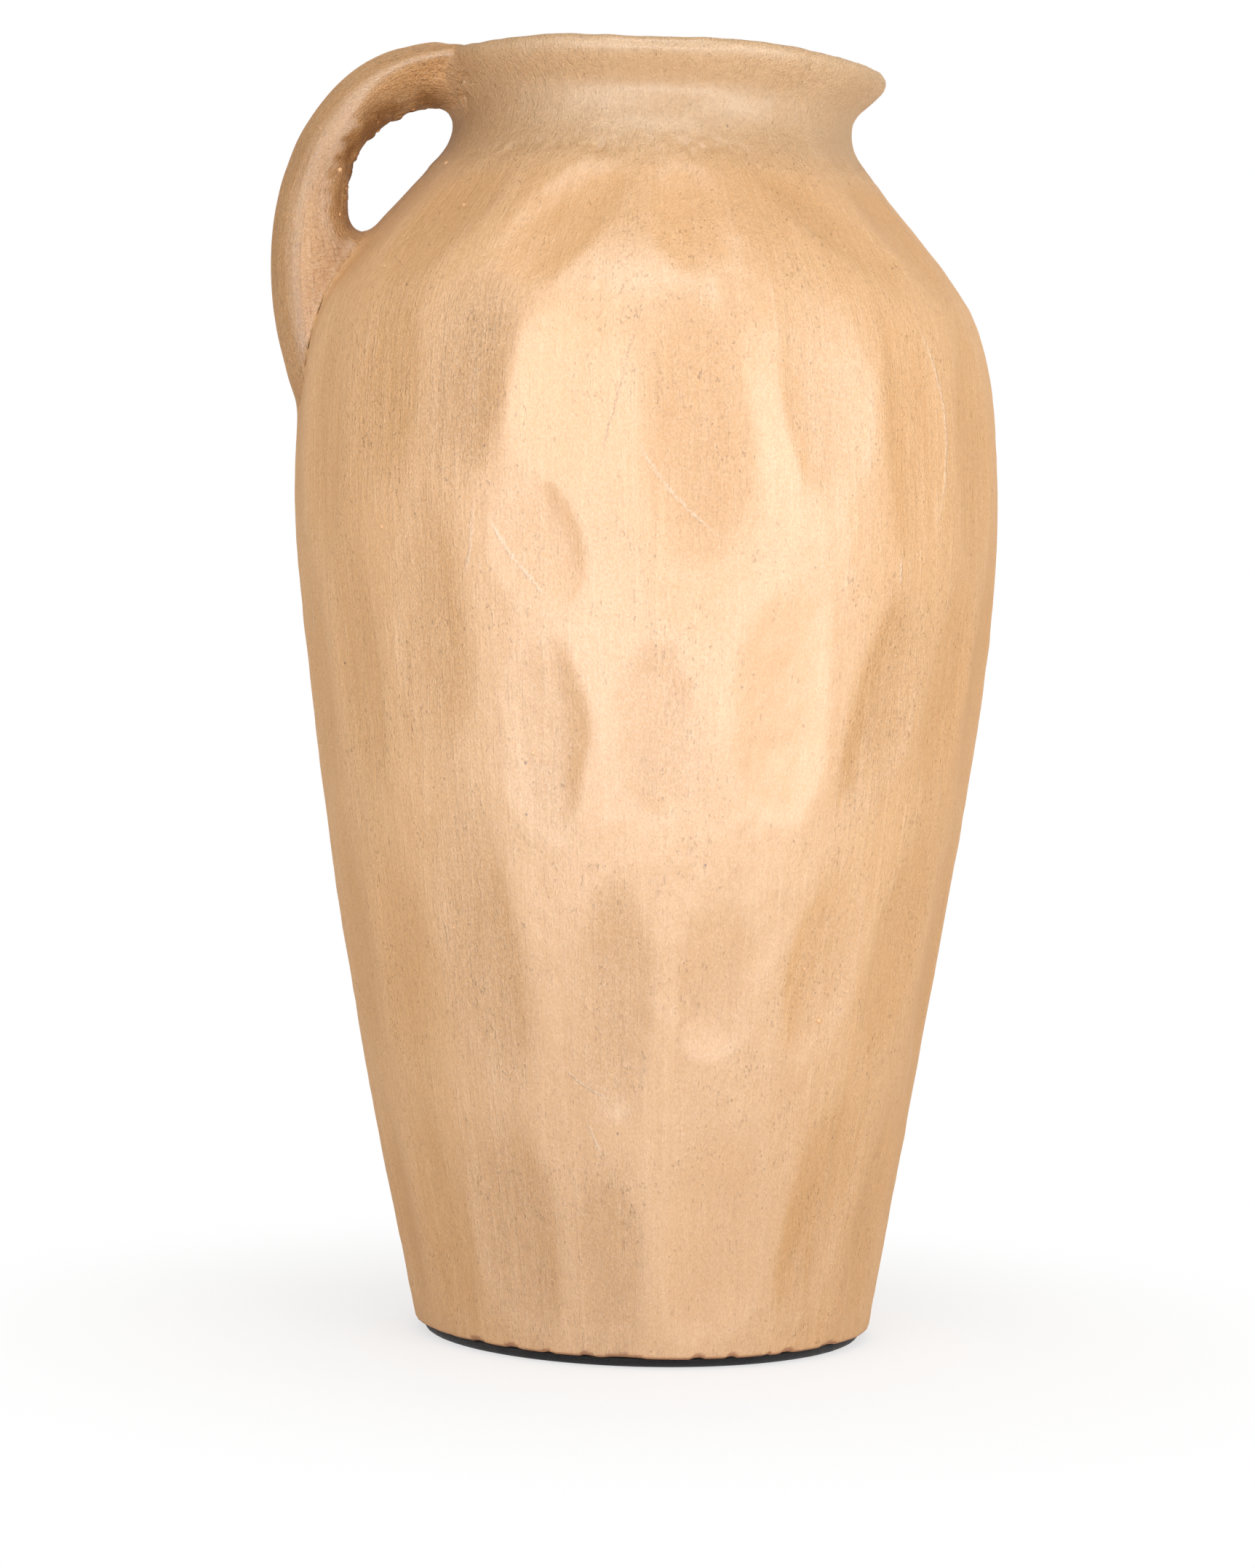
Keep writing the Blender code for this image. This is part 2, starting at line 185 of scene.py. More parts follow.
def outer_profile():
    """The wall's outer side from its foot to the end of the flare, as (radius, height) points."""
    foot = np.array((BASE_RADIUS, PAD_THICKNESS + SEAT_GAP))
    belly = np.array((BELLY_RADIUS, BELLY_HEIGHT))
    neck_foot = np.array((NECK_FOOT_RADIUS, NECK_FOOT_HEIGHT))
    waist = np.array((WAIST_RADIUS, WAIST_HEIGHT))
    flare = np.array((FLARE_RADIUS, FLARE_HEIGHT))
    taper = np.array((TAPER_SLOPE, 1.0))
    inward, outward = lean(-NECK_FOOT_ANGLE), lean(FLARE_ANGLE)
    rise, shoulder = BELLY_HEIGHT - foot[1], NECK_FOOT_HEIGHT - BELLY_HEIGHT
    hollow, throat = WAIST_HEIGHT - NECK_FOOT_HEIGHT, FLARE_HEIGHT - WAIST_HEIGHT
    ends = (
        (foot, 0.37 * rise * taper, -0.20 * rise * UPRIGHT, belly),
        (belly, 0.63 * shoulder * UPRIGHT, -0.47 * shoulder * inward, neck_foot),
        (neck_foot, 0.45 * hollow * inward, -0.45 * hollow * UPRIGHT, waist),
        (waist, 0.50 * throat * UPRIGHT, -0.40 * throat * outward, flare),
    )
    t = np.linspace(0.0, 1.0, PROFILE_STEPS + 1)
    spans = [curve(t, a, a + p, b + q, b) for a, p, q, b in ends]
    return np.concatenate([spans[0]] + [span[1:] for span in spans[1:]])


def lip_path(flare, flare_inward):
    """The lip's section from the flare over its nose and crest to the mouth's edge, as (radius, height)."""
    pull = 0.55 * LIP_ROUND
    t = np.linspace(0.0, 1.0, LIP_STEPS + 1)
    tip = np.array((LIP_RADIUS, LIP_HEIGHT))
    crest = np.array((LIP_RADIUS - LIP_ROUND, RIM_HEIGHT))
    mouth = flare + WALL * flare_inward
    under = curve(t, flare, flare + pull * lean(FLARE_ANGLE), tip - pull * UPRIGHT, tip)
    over = curve(t, tip, tip + pull * UPRIGHT, crest + pull * OUTWARD, crest)
    inside = curve(t, crest, crest - pull * OUTWARD, mouth + pull * lean(FLARE_ANGLE), mouth)
    return np.concatenate([under[1:], over[1:], inside[1:]])


def lengths(path):
    """How far along a path each of its points lies."""
    return np.concatenate([[0.0], np.cumsum(np.hypot(*np.diff(path, axis=0).T))])


PROFILE = outer_profile()
FLARE_INWARD = np.array((-math.cos(math.radians(FLARE_ANGLE)), math.sin(math.radians(FLARE_ANGLE))))
OUTLINE = np.concatenate([PROFILE, lip_path(PROFILE[-1], FLARE_INWARD)])
ALONG = lengths(OUTLINE)
FLARE_ALONG = ALONG[len(PROFILE) - 1]
CREST_ALONG = ALONG[np.argmax(OUTLINE[:, 1])]


def outer_at(along):
    """The outline's (radius, height) at these lengths along it."""
    return np.stack([np.interp(along, ALONG, OUTLINE[:, k]) for k in (0, 1)], axis=-1)


def along_at_height(height):
    """The length along the outline at this height of the wall."""
    return np.interp(height, PROFILE[:, 1], ALONG[: len(PROFILE)])


def inward_at(along):
    """The direction square to the outline, into the clay."""
    ahead = outer_at(np.minimum(along + SLOPE_STEP, ALONG[-1]))
    run = unit(ahead - outer_at(np.maximum(along - SLOPE_STEP, 0.0)))
    return np.stack([-run[..., 1], run[..., 0]], axis=-1)


def height_at(along):
    """The wall's height at these lengths along it, with all of the lip counted as the rim's."""
    return np.where(along > FLARE_ALONG, RIM_HEIGHT, outer_at(along)[:, 1])


def rim_drop(height, sideways):
    """How far the rim's tilt lowers a place on the neck, from nothing at the neck's foot."""
    neck_share = np.clip((height - NECK_FOOT_HEIGHT) / (RIM_HEIGHT - NECK_FOOT_HEIGHT), 0.0, 1.0)
    return neck_share * math.tan(RIM_TILT) * sideways


def placed(radius, height, turn):
    """Points in space from radius, height and azimuth in radians, about the axis that drifts sideways."""
    sideways = radius * np.sin(turn)
    drift = smooth_through(AXIS_DRIFT, height)
    tilted = height - rim_drop(height, sideways)
    return np.stack([drift + sideways, -radius * np.cos(turn), tilted], axis=-1)


print("length of the outline:", round(1000 * ALONG[-1]), "mm")

# %% [markdown]
# ## Noise that goes right round
#
# Clay is never quite even. Soft noise is read here from a block of random numbers, blended between
# neighbours. Because it is read at places in space, it closes on itself round the vase and needs no seam.
# Squeezed in one direction, the same noise becomes the long strokes that a brush or a scraper leaves.

# %% Soft noise
LATTICE = 40


def cloud(points, size, seed):
    """Soft noise from -1 to 1 at each point, with lumps of about this size."""
    table = np.random.default_rng(seed).uniform(-1.0, 1.0, (LATTICE,) * 3)
    scaled = points / size
    cell = np.floor(scaled).astype(int)
    t = scaled - cell
    t = t * t * (3 - 2 * t)
    total = np.zeros(points.shape[:-1])
    for corner in itertools.product((0, 1), repeat=3):
        weight = np.prod(np.where(np.array(corner) == 1, t, 1.0 - t), axis=-1)
        x, y, z = np.moveaxis((cell + corner) % LATTICE, -1, 0)
        total += weight * table[x, y, z]
    return total


def unrolled(turn, along):
    """Places on a cylinder of the belly's radius, with the length along the wall for height."""
    turn, along = np.broadcast_arrays(turn, along)
    return np.stack([BELLY_RADIUS * np.sin(turn), BELLY_RADIUS * np.cos(turn), along], axis=-1)


# %% [markdown]
# ## The scraped facets
#
# The wall was smoothed with a loop tool in short strokes. Each stroke left a long shallow dish, and where
# two dishes meet there is a soft ridge. The tool digs in a little more where a stroke ends at the bottom,
# and at one of its sides, so the lower ends are crisp crescents. The front strokes are placed one by one,
# and those round the back go on at the same pitch with a little chance in them.

# %% Facets
# On the front: azimuth, height, half width, half length (mm), lean (degrees), depth (mm), skew, and how
# streaky the tool left it
FRONT_FACETS = (
    (-70, 397, 19, 35, 4, 1.9, 0.0, 0.3),
    (-44, 395, 18.5, 31, 22, 1.9, 0.0, 0.3),
    (-16, 393, 15.9, 34, 25, 2.1, 0.1, 0.15),
    (9, 393, 14.9, 30, -2, 1.8, 0.0, 0.15),
    (38, 395, 13.2, 38, -34, 1.5, -0.1, 0.3),
    (60, 396, 17, 34, -10, 1.9, 0.0, 0.3),
    (78, 395, 17, 34, 0, 1.9, 0.0, 0.3),
    (-80, 322, 18, 46, 0, 1.5, 0.0, 0.3),
    (-63, 318, 17, 46, 2, 1.6, 0.0, 0.3),
    (-45, 338, 18, 38, 5, 1.8, 0.0, 0.5),
    (-28, 338, 14.9, 31, 8, 1.4, 0.25, 0.85),
    (-11, 333, 20.7, 33, 0, 1.9, 0.0, 0.1),
    (8, 324, 15.8, 42, -3, 1.6, 0.2, 0.4),
    (29, 336, 17.7, 35, -2, 2.2, -0.2, 0.35),
    (47, 325, 16.6, 43, -3, 2.0, -0.25, 0.3),
    (66, 322, 18.5, 46, 0, 2.0, 0.0, 0.3),
    (-73, 236, 18, 50, 0, 1.4, 0.0, 0.3),
    (-55, 240, 17, 46, 0, 1.5, 0.0, 0.4),
    (-36, 253, 15.9, 45, -2, 1.7, 0.1, 0.5),
    (-17, 282, 15.3, 21, -14, 2.0, 0.3, 0.3),
    (-17, 218, 15.5, 36, 0, 2.2, 0.3, 0.45),
    (2, 221, 14.0, 29, 2, 2.1, 0.1, 0.4),
    (22, 229, 18.1, 40, -2, 2.4, 0.1, 0.1),
    (43, 231, 15.9, 37, 12, 2.1, -0.25, 0.5),
    (60, 240, 16, 44, 8, 1.9, 0.0, 0.3),
    (76, 236, 17, 48, 0, 1.9, 0.0, 0.3),
    (-70, 142, 16, 46, 0, 1.4, 0.0, 0.3),
    (-51, 140, 16.0, 44, -3, 1.5, 0.0, 0.3),
    (-30, 145, 15.4, 45, -5, 1.7, 0.2, 0.55),
    (-5, 130, 13.3, 40, 1, 2.1, 0.2, 0.5),
    (14, 137, 15.8, 30, 0, 2.1, 0.0, 0.3),
    (36, 141, 15.4, 36, 8, 2.4, -0.2, 0.3),
    (56, 148, 16.5, 43, 10, 1.9, -0.1, 0.3),
    (75, 146, 15, 44, 0, 1.8, 0.0, 0.3),
    (-70, 50, 13, 42, 0, 1.7, 0.0, 0.3),
    (-51, 49, 14, 44, -5, 1.8, 0.0, 0.3),
    (-29, 48, 17.0, 40, -3, 1.9, 0.25, 0.5),
    (-8, 37, 13.0, 34, 0, 1.9, 0.2, 0.5),
    (16, 47, 19.5, 40, 2, 2.6, 0.0, 0.2),
    (43, 56, 16.0, 43, 12, 2.1, -0.1, 0.35),
    (64, 50, 14, 42, 4, 1.7, 0.0, 0.3),
)
# Round the back, for each row: height, half width and half length (mm)
BACK_ROWS = ((396, 18, 34), (326, 18, 42), (238, 17, 44), (143, 15.5, 43), (50, 14, 42))
BACK_START, BACK_END = 82.0, 280.0
BACK_OVERLAP = 1.10
BACK_STAGGER, BACK_SCATTER = 7.0, 9.0
FACET_SEED = 7
RIDGE_SOFTNESS = 0.00026
STREAK_SOFTNESS = 2.5
FACET_WAVER = 0.0022
DISH_LIMIT = 0.004


def back_facets():
    """Facets for the unseen side, row by row, staggered and a little uneven."""
    chance = np.random.default_rng(FACET_SEED)
    made = []
    for row, (height, half_width, half_length) in enumerate(BACK_ROWS):
        radius = 1000 * np.interp(height / 1000, PROFILE[:, 1], PROFILE[:, 0])
        pitch = math.degrees(2 * half_width / BACK_OVERLAP / radius)
        count = round((BACK_END - BACK_START) / pitch)
        for k in range(1, count):
            azimuth = BACK_START + (BACK_END - BACK_START) * (k + 0.2 * chance.uniform(-1, 1)) / count
            size = 1.0 + 0.15 * chance.uniform(-1, 1)
            rise = height + BACK_SCATTER * chance.uniform(-1, 1)
            rise += BACK_STAGGER if (k + row) % 2 else -BACK_STAGGER
            tilt, depth, skew, streaks = chance.uniform((-8, 1.6, -0.25, 0.1), (8, 2.4, 0.3, 0.5))
            made.append((azimuth, rise, half_width, half_length * size, tilt, depth, skew, streaks))
    return made


FACETS = FRONT_FACETS + tuple(back_facets())
print("facets:", len(FRONT_FACETS), "in front and", len(FACETS) - len(FRONT_FACETS), "round the back")


def dishes(turn, along):
    """How far the scraper went in, in metres, and how streaky it left the clay, from 0 to 1."""
    places = unrolled(turn, along)
    turn = turn + FACET_WAVER * cloud(places, 0.020, 21) / BELLY_RADIUS
    along_there = along + 1.8 * FACET_WAVER * cloud(places, 0.032, 22)
    total = np.ones(np.broadcast(turn, along).shape)
    soft_total, streaky = total.copy(), 0.2 * total
    for azimuth, height, half_width, half_length, tilt, depth, skew, streaks in FACETS:
        middle = along_at_height(0.001 * height)
        radius = float(outer_at(middle)[0])
        aside = wrapped(turn - math.radians(azimuth)) * radius
        upward = along_there - middle
        slant = math.radians(tilt)
        across = (aside * math.cos(slant) - upward * math.sin(slant)) / (0.001 * half_width) - skew
        across = across / np.where(across > 0, 1.0 - skew, 1.0 + skew)
        up = (upward * math.cos(slant) + aside * math.sin(slant)) / (0.001 * half_length)
        dish = 0.001 * depth * (1.0 - across**2 - np.where(up < 0, -(up**3), up**2))
        weight = np.exp(np.clip(dish, -DISH_LIMIT, DISH_LIMIT) / RIDGE_SOFTNESS)
        total += weight
        softer = weight ** (1.0 / STREAK_SOFTNESS)
        streaky += streaks * softer
        soft_total += softer
    deep = RIDGE_SOFTNESS * np.log(total)
    foot_fade = 0.35 + 0.65 * smoothstep(0.002, 0.014, along)
    neck_fade = smoothstep(0.0, 0.014, along_at_height(NECK_FOOT_HEIGHT) - along)
    return deep * foot_fade * neck_fade, streaky / soft_total


# %% [markdown]
# ## Small unevenness of the skin
#
# On top of the facets come a slow wobble of the whole form, small lumps, and the long fine ripples of the
# scraper's edge. Round the foot of the neck, where the neck was luted on, the clay was pressed with a tool
# and never quite smoothed. Each of these really moves the surface, by a few tenths of a millimetre. The
# wobble starts a little inside the outline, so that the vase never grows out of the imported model's box.

# %% Skin: everything that moves the wall's outer side in or out
WOBBLE, WOBBLE_SIZE, WOBBLE_INSET = 0.0005, 0.075, 1.4
LUMPS, LUMP_SIZE = 0.00019, 0.012
STROKES, STROKE_WIDTH, STROKE_STRETCH = 0.00015, 0.0034, 9.0
GRITS, GRIT_SIZE = 0.00010, 0.0045
NECK_SEAM_HEIGHT, NECK_SEAM_BAND, NECK_SEAM_DEPTH = 0.4175, 0.0045, 0.0014


def strokes(turn, along, width, stretch, seed):
    """Noise drawn out along the wall, with a slow sideways waver so that no stroke is quite straight."""
    places = unrolled(turn, along)
    waver = 1.5 * width * cloud(places, 0.05, seed + 1)
    bent = unrolled(turn + waver / BELLY_RADIUS, along)
    bent[..., 2] /= stretch
    return cloud(bent, width, seed)


def neck_seam(turn, along):
    """A dented band round the foot of the neck, deeper in some places than others."""
    places = unrolled(turn, along)
    middle = along_at_height(NECK_SEAM_HEIGHT) + 0.0022 * cloud(places * (1, 1, 0), 0.030, 31)
    band = np.exp(-(((along - middle) / NECK_SEAM_BAND) ** 2))
    pressed = 0.35 + 0.65 * smoothstep(-0.3, 0.5, cloud(places, 0.022, 32))
    dabs = 0.6 * cloud(places, 0.0048, 33) + 0.4 * cloud(places, 0.0026, 34)
    return band * pressed * (0.35 + dabs)


def skin_depth(turn, along):
    """Metres that the skin lies inside the plain outline."""
    places = unrolled(turn, along)
    deep, streaky = dishes(turn, along)
    deep = deep + WOBBLE * (WOBBLE_INSET + cloud(places, WOBBLE_SIZE, 11))
    deep = deep + LUMPS * cloud(places, LUMP_SIZE, 12)
    above_shoulder = smoothstep(0.0, 0.01, along - along_at_height(NECK_FOOT_HEIGHT))
    drawn = (0.30 + 1.4 * streaky) * (1.0 - 0.75 * above_shoulder)
    deep = deep + STROKES * drawn * strokes(turn, along, STROKE_WIDTH, STROKE_STRETCH, 13)
    deep = deep + GRITS * cloud(places, GRIT_SIZE, 16)
    return deep + NECK_SEAM_DEPTH * neck_seam(turn, along)


# %% [markdown]
# ## One skin over the whole vase
#
# The skin is worked out once, as a stack of rings that goes up the outside, over the lip and down the
# inside. All the clay pieces but the handle are then cut from that one stack. Neighbouring pieces share
# their edge ring and its shading, because on the fired vase the joints are smoothed over and no line shows.

# %% Rows of the skin
AROUND = 520
TURN = steps_round(AROUND)
SLAB_TOP = along_at_height(PAD_THICKNESS + SEAT_GAP + SLAB_THICKNESS)
WALL_SEAM = along_at_height(WALL_SEAM_HEIGHT)
NECK_FOOT = along_at_height(NECK_FOOT_HEIGHT)
FOOT_STEP, OUTER_STEP, NECK_STEP, LIP_STEP, INNER_STEP = 0.0008, 0.00155, 0.0009, 0.0006, 0.0080
RIM_UNEVENNESS = 0.0006
COIL_PITCH = 0.026


def rows_between(ends, steps):
    """Rows along a path with the number of the row at each end."""
    spans = zip(ends, ends[1:], steps)
    runs = [np.linspace(a, b, max(2, round(abs(b - a) / step) + 1)) for a, b, step in spans]
    rows = np.concatenate([runs[0]] + [run[1:] for run in runs[1:]])
    return rows, np.cumsum([0] + [len(run) - 1 for run in runs]).tolist()


def ring_places(turn, radius):
    """Places on a level ring, for noise that only changes round the vase."""
    return np.stack([np.sin(turn), np.cos(turn), 0.0 * turn], axis=-1) * radius


def base_edge(turn, along):
    """The worn lower edge: a small round with a chip here and there, as metres inside the outline."""
    places = ring_places(turn, BASE_RADIUS)
    size = 0.0016 + 0.0010 * np.clip(cloud(places, 0.018, 61), 0.0, 1.0)
    size = size + 0.0018 * smoothstep(0.25, 0.6, cloud(places, 0.0065, 62))
    reach = np.clip(1.0 - along / size, 0.0, 1.0)
    return size * (1.0 - np.sqrt(1.0 - reach**2))


def rim_shift(turn):
    """How the lip's nose goes in and out and up and down round the mouth, as (radius, height)."""
    places = ring_places(turn, LIP_RADIUS)
    out = cloud(places, 0.034, 41) + 0.4 * cloud(places, 0.011, 42)
    up = cloud(places, 0.040, 43) + 0.35 * cloud(places, 0.009, 44)
    return RIM_UNEVENNESS * np.stack([out - 0.6, up - 0.6], axis=-1)


def rings(along, deep, lip_share):
    """Rings at these lengths, so deep inside the outline, with a share of the lip's unevenness."""
    section = outer_at(along)[:, None, :] + deep[..., None] * inward_at(along)[:, None, :]
    section += lip_share[:, None, None] * rim_shift(TURN)[None, :, :]
    return placed(section[..., 0], section[..., 1], TURN[None, :])


def outer_skin(along):
    """Rings of the outer side, lip and all."""
    grid = (TURN[None, :], along[:, None])
    near_lip = smoothstep(WAIST_HEIGHT, FLARE_HEIGHT, height_at(along))
    return rings(along, skin_depth(*grid) + base_edge(*grid), near_lip)


def inner_skin(along):
    """Rings of the hollow's side, with the ridges that are left where coils of clay were joined."""
    places = unrolled(TURN[None, :], along[:, None])
    ripple = 0.0005 * np.sin(along[:, None] * 2 * math.pi / COIL_PITCH + 2.0 * cloud(places, 0.08, 51))
    ripple = ripple + 0.0006 * cloud(places, 0.030, 52)
    below_mouth = smoothstep(0.0, 0.020, FLARE_ALONG - along)
    return rings(along, WALL + ripple * below_mouth[:, None], 1.0 - below_mouth)


outer_rows, outer_ends = rows_between(
    (0.0, SLAB_TOP, WALL_SEAM, NECK_FOOT, FLARE_ALONG, ALONG[-1]),
    (FOOT_STEP, OUTER_STEP, OUTER_STEP, NECK_STEP, LIP_STEP),
)
inner_rows, inner_ends = rows_between((FLARE_ALONG, NECK_FOOT, WALL_SEAM, SLAB_TOP), (INNER_STEP,) * 3)
skin = np.concatenate([outer_skin(outer_rows), inner_skin(inner_rows[1:])])
inner_ends = [len(outer_rows) - 1 + end for end in inner_ends]
print("rows of the skin:", len(skin), "of", AROUND, "points; joints at rows", outer_ends, inner_ends)

# %% [markdown]
# ## The strap of the handle
#
# The handle is one flattened strap. Its outer edge is a single smooth curve, and each place on it carries a
# cross section that is rounded on the outside and flatter below. Every line that runs along the strap starts
# and ends 3 mm inside the wall, so the strap is as long as it needs to be at each side.

# %% Strap sizes, in metres and degrees
HANDLE_TOP_AZIMUTH, HANDLE_FOOT_AZIMUTH = -77.0, -88.0
HANDLE_BURIAL = 0.0120
HANDLE_TOP_RISE, HANDLE_TOP_REACH, HANDLE_TOP_LIFT = 0.0025, 0.0483, 0.0152
HANDLE_FOOT_HEIGHT = BELLY_HEIGHT + 0.0230
HANDLE_FOOT_BURIAL, HANDLE_FOOT_REACH, HANDLE_FOOT_LIFT = 0.0035, 0.0228, 0.0658
HANDLE_CROWN, HANDLE_SQUARENESS = 0.0108, 2.3
UNDER_KEEL = 0.55
STRAP_PLACES = (0.0, 0.12, 0.30, 0.42, 0.56, 0.64, 0.71, 0.80, 1.0)
STRAP_DEPTHS = (0.0220, 0.0218, 0.0214, 0.0210, 0.0242, 0.0292, 0.0420, 0.0420, 0.0420)
STRAP_WIDTHS = (0.0640, 0.0580, 0.0410, 0.0360, 0.0350, 0.0374, 0.0405, 0.0460, 0.0500)
STRAP_RINGS, STRAP_SIDES = 300, 96
STRAP_SUNK = 0.003
STRAP_LENGTH = 0.170
STRAP_STEP, STRAP_TRIES = 0.002, 401
JOIN_FROM_HEIGHT, JOIN_PAST_FLARE, JOIN_SAMPLES = 0.28, 0.011, 160
MOUTH_MARGIN = 0.0008
SIDE_ANGLE = steps_round(STRAP_SIDES)


def strap_edge(share):
    """The strap's outer edge in space at these shares of the way down."""
    foot_radius = float(np.interp(HANDLE_FOOT_HEIGHT, PROFILE[:, 1], PROFILE[:, 0]))
    top = np.array((WAIST_RADIUS - HANDLE_BURIAL, RIM_HEIGHT + HANDLE_TOP_RISE))
    foot = np.array((foot_radius - HANDLE_FOOT_BURIAL, HANDLE_FOOT_HEIGHT))
    top_pull = np.array((LIP_RADIUS + HANDLE_TOP_REACH, RIM_HEIGHT + HANDLE_TOP_LIFT))
    foot_pull = np.array((foot_radius + HANDLE_FOOT_REACH, HANDLE_FOOT_HEIGHT + HANDLE_FOOT_LIFT))
    edge = curve(share, top, top_pull, foot_pull, foot)
    turn = np.radians(HANDLE_TOP_AZIMUTH + (HANDLE_FOOT_AZIMUTH - HANDLE_TOP_AZIMUTH) * share)
    sidewards = smooth_through(AXIS_DRIFT, edge[..., 1]) + edge[..., 0] * np.sin(turn)
    return np.stack([sidewards, -edge[..., 0] * np.cos(turn), edge[..., 1]], axis=-1), turn


def strap_points(share):
    """Points of the strap, one column for each of its sides; share may differ from side to side."""
    edge, turn = strap_edge(share)
    run = unit(strap_edge(share + STRAP_STEP)[0] - strap_edge(share - STRAP_STEP)[0])
    sideways = np.stack([np.cos(turn), np.sin(turn), 0.0 * turn], axis=-1)
    outward = unit(np.cross(run, sideways))
    half_width = 0.5 * smooth_through(list(zip(STRAP_PLACES, STRAP_WIDTHS)), share)
    under = smooth_through(list(zip(STRAP_PLACES, STRAP_DEPTHS)), share) - HANDLE_CROWN
    power = 2.0 / HANDLE_SQUARENESS
    across = np.sign(np.cos(SIDE_ANGLE)) * np.abs(np.cos(SIDE_ANGLE)) ** power
    up = np.sign(np.sin(SIDE_ANGLE)) * np.abs(np.sin(SIDE_ANGLE)) ** power
    rise = np.where(up > 0, HANDLE_CROWN * up, under * up)
    keel = 1.0 - UNDER_KEEL * smoothstep(-0.5, 0.6, -up) * (1.0 - smoothstep(0.10, 0.45, share))
    middle = edge - HANDLE_CROWN * outward
    return middle + (half_width * keel * across)[..., None] * sideways + rise[..., None] * outward


def round_the_axis(points):
    """Radius and untilted height of points in space."""
    sideways = points[..., 0] - smooth_through(AXIS_DRIFT, points[..., 2])
    height = points[..., 2] + rim_drop(points[..., 2], sideways)
    return np.stack([np.hypot(sideways, points[..., 1]), height], axis=-1)


def outside_outline(places):
    """How far (radius, height) places lie outside the outline, negative in the clay and in the hollow."""
    count = np.searchsorted(ALONG, FLARE_ALONG + JOIN_PAST_FLARE)
    along = np.linspace(along_at_height(JOIN_FROM_HEIGHT), ALONG[count], JOIN_SAMPLES)
    line, inward = outer_at(along), inward_at(along)
    apart = places[..., None, :] - line
    nearest = np.argmin((apart**2).sum(axis=-1), axis=-1)
    near = np.take_along_axis(apart, nearest[..., None, None], axis=-2)[..., 0, :]
    distance = np.hypot(near[..., 0], near[..., 1]) * np.sign(-(near * inward[nearest]).sum(axis=-1))
    over_mouth = places[..., 0] < LIP_RADIUS - LIP_ROUND + MOUTH_MARGIN
    return np.where(over_mouth, -np.abs(distance), distance)


def strap_between_walls():
    """The strap's points, with each line cut to run from just inside the neck to inside the shoulder."""
    fine = np.linspace(0.0, 1.0, STRAP_TRIES)
    lines = strap_points(np.repeat(fine[:, None], STRAP_SIDES, axis=1))
    outside = outside_outline(round_the_axis(lines)) > -STRAP_SUNK
    start = fine[np.argmax(outside, axis=0)]
    last = len(fine) - 1 - np.argmax(outside[::-1], axis=0)
    end = fine[last]
    spread = np.linspace(0.0, 1.0, STRAP_RINGS)[:, None]
    share = start + (end - start) * spread
    return strap_points(share), share


strap, strap_share = strap_between_walls()
print("strap lines start at", strap_share[0].min().round(3), "to", strap_share[0].max().round(3))
print("and end at", strap_share[-1].min().round(3), "to", strap_share[-1].max().round(3))

# %% [markdown]
# ## Pressing the strap over the rim and dressing it
#
# Where the strap comes over the rim it is pressed down, so its upper side rounds off on the lip's crest.
# The strap has the same kind of uneven skin as the wall, and its under side is rougher, because no tool
# reaches well in there.

# %% Strap skin
LAP_LENGTH, LAP_BELOW_RIM, LAP_RADIUS = 0.0060, 0.0005, 0.095


def grid_normals(grid):
    """Square to the surface at each point of a stack of rings."""
    around = np.roll(grid, -1, axis=1) - np.roll(grid, 1, axis=1)
    return unit(np.cross(around, np.gradient(grid, axis=0)))


def pressed_down(points):
    """Rounds the strap's upper side off where it laps over the lip's crest."""
    places = round_the_axis(points)
    over = places[..., 1] - (RIM_HEIGHT - LAP_BELOW_RIM)
    u = np.clip((places[..., 0] - (LIP_RADIUS - LIP_ROUND)) / LAP_LENGTH, 0.0, 1.0)
    kept = np.sqrt(np.clip(1.0 - (1.0 - u) ** 2, 0.0, 1.0))
    lowered = points.copy()
    lowered[..., 2] -= np.where((over > 0) & (places[..., 0] < LAP_RADIUS), (1.0 - kept) * over, 0.0)
    return lowered


def strap_place(share):
    """Places round the strap and along it, for strokes that follow it."""
    none = 0.0 * share
    across, through = 0.020 * np.cos(SIDE_ANGLE), 0.016 * np.sin(SIDE_ANGLE)
    return np.stack([across + none, through + none, STRAP_LENGTH * share], axis=-1)


def under_side(share):
    """1 on the strap's under side, where it faces the gap, and 0 on its outer side."""
    return smoothstep(0.0, 0.75, -np.sin(SIDE_ANGLE) + 0 * share)


def strap_roughness(share):
    """Where the under side was left rough: from just off the neck to half-way down."""
    off_neck = smoothstep(0.04, 0.14, np.linspace(0.0, 1.0, STRAP_RINGS))[:, None]
    return off_neck * under_side(share) * (1.0 - 0.75 * smoothstep(0.45, 0.62, share))


def dressed_strap(points, share):
    """The strap with its slow unevenness, its long strokes and the rough patch below."""
    normals = grid_normals(points)
    place = strap_place(share)
    out = 0.0005 * (cloud(points, 0.026, 71) - 0.3) + 0.00022 * cloud(points, 0.0085, 72)
    drawn = place * (1.0, 1.0, 1.0 / 9.0)
    out = out + 0.00018 * cloud(drawn, 0.0034, 73)
    rough = strap_roughness(share)
    out = out + rough * (0.0011 * cloud(points, 0.0046, 74) + 0.0007 * cloud(points, 0.0022, 75))
    return points + out[..., None] * normals


strap = pressed_down(strap)
smooth_strap_normals = grid_normals(strap).reshape(-1, 3)
strap = dressed_strap(strap, strap_share)

# %% [markdown]
# ## Fillets where the strap meets the wall
#
# Wet clay is never joined with a sharp inner corner. Each of the two skins rises a little where the other
# one comes near, by an amount that makes a round fillet, and slips below it once they have crossed. The
# fillet is wide inside the handle's gap and at the neck, and tight on top, where a crease shows.

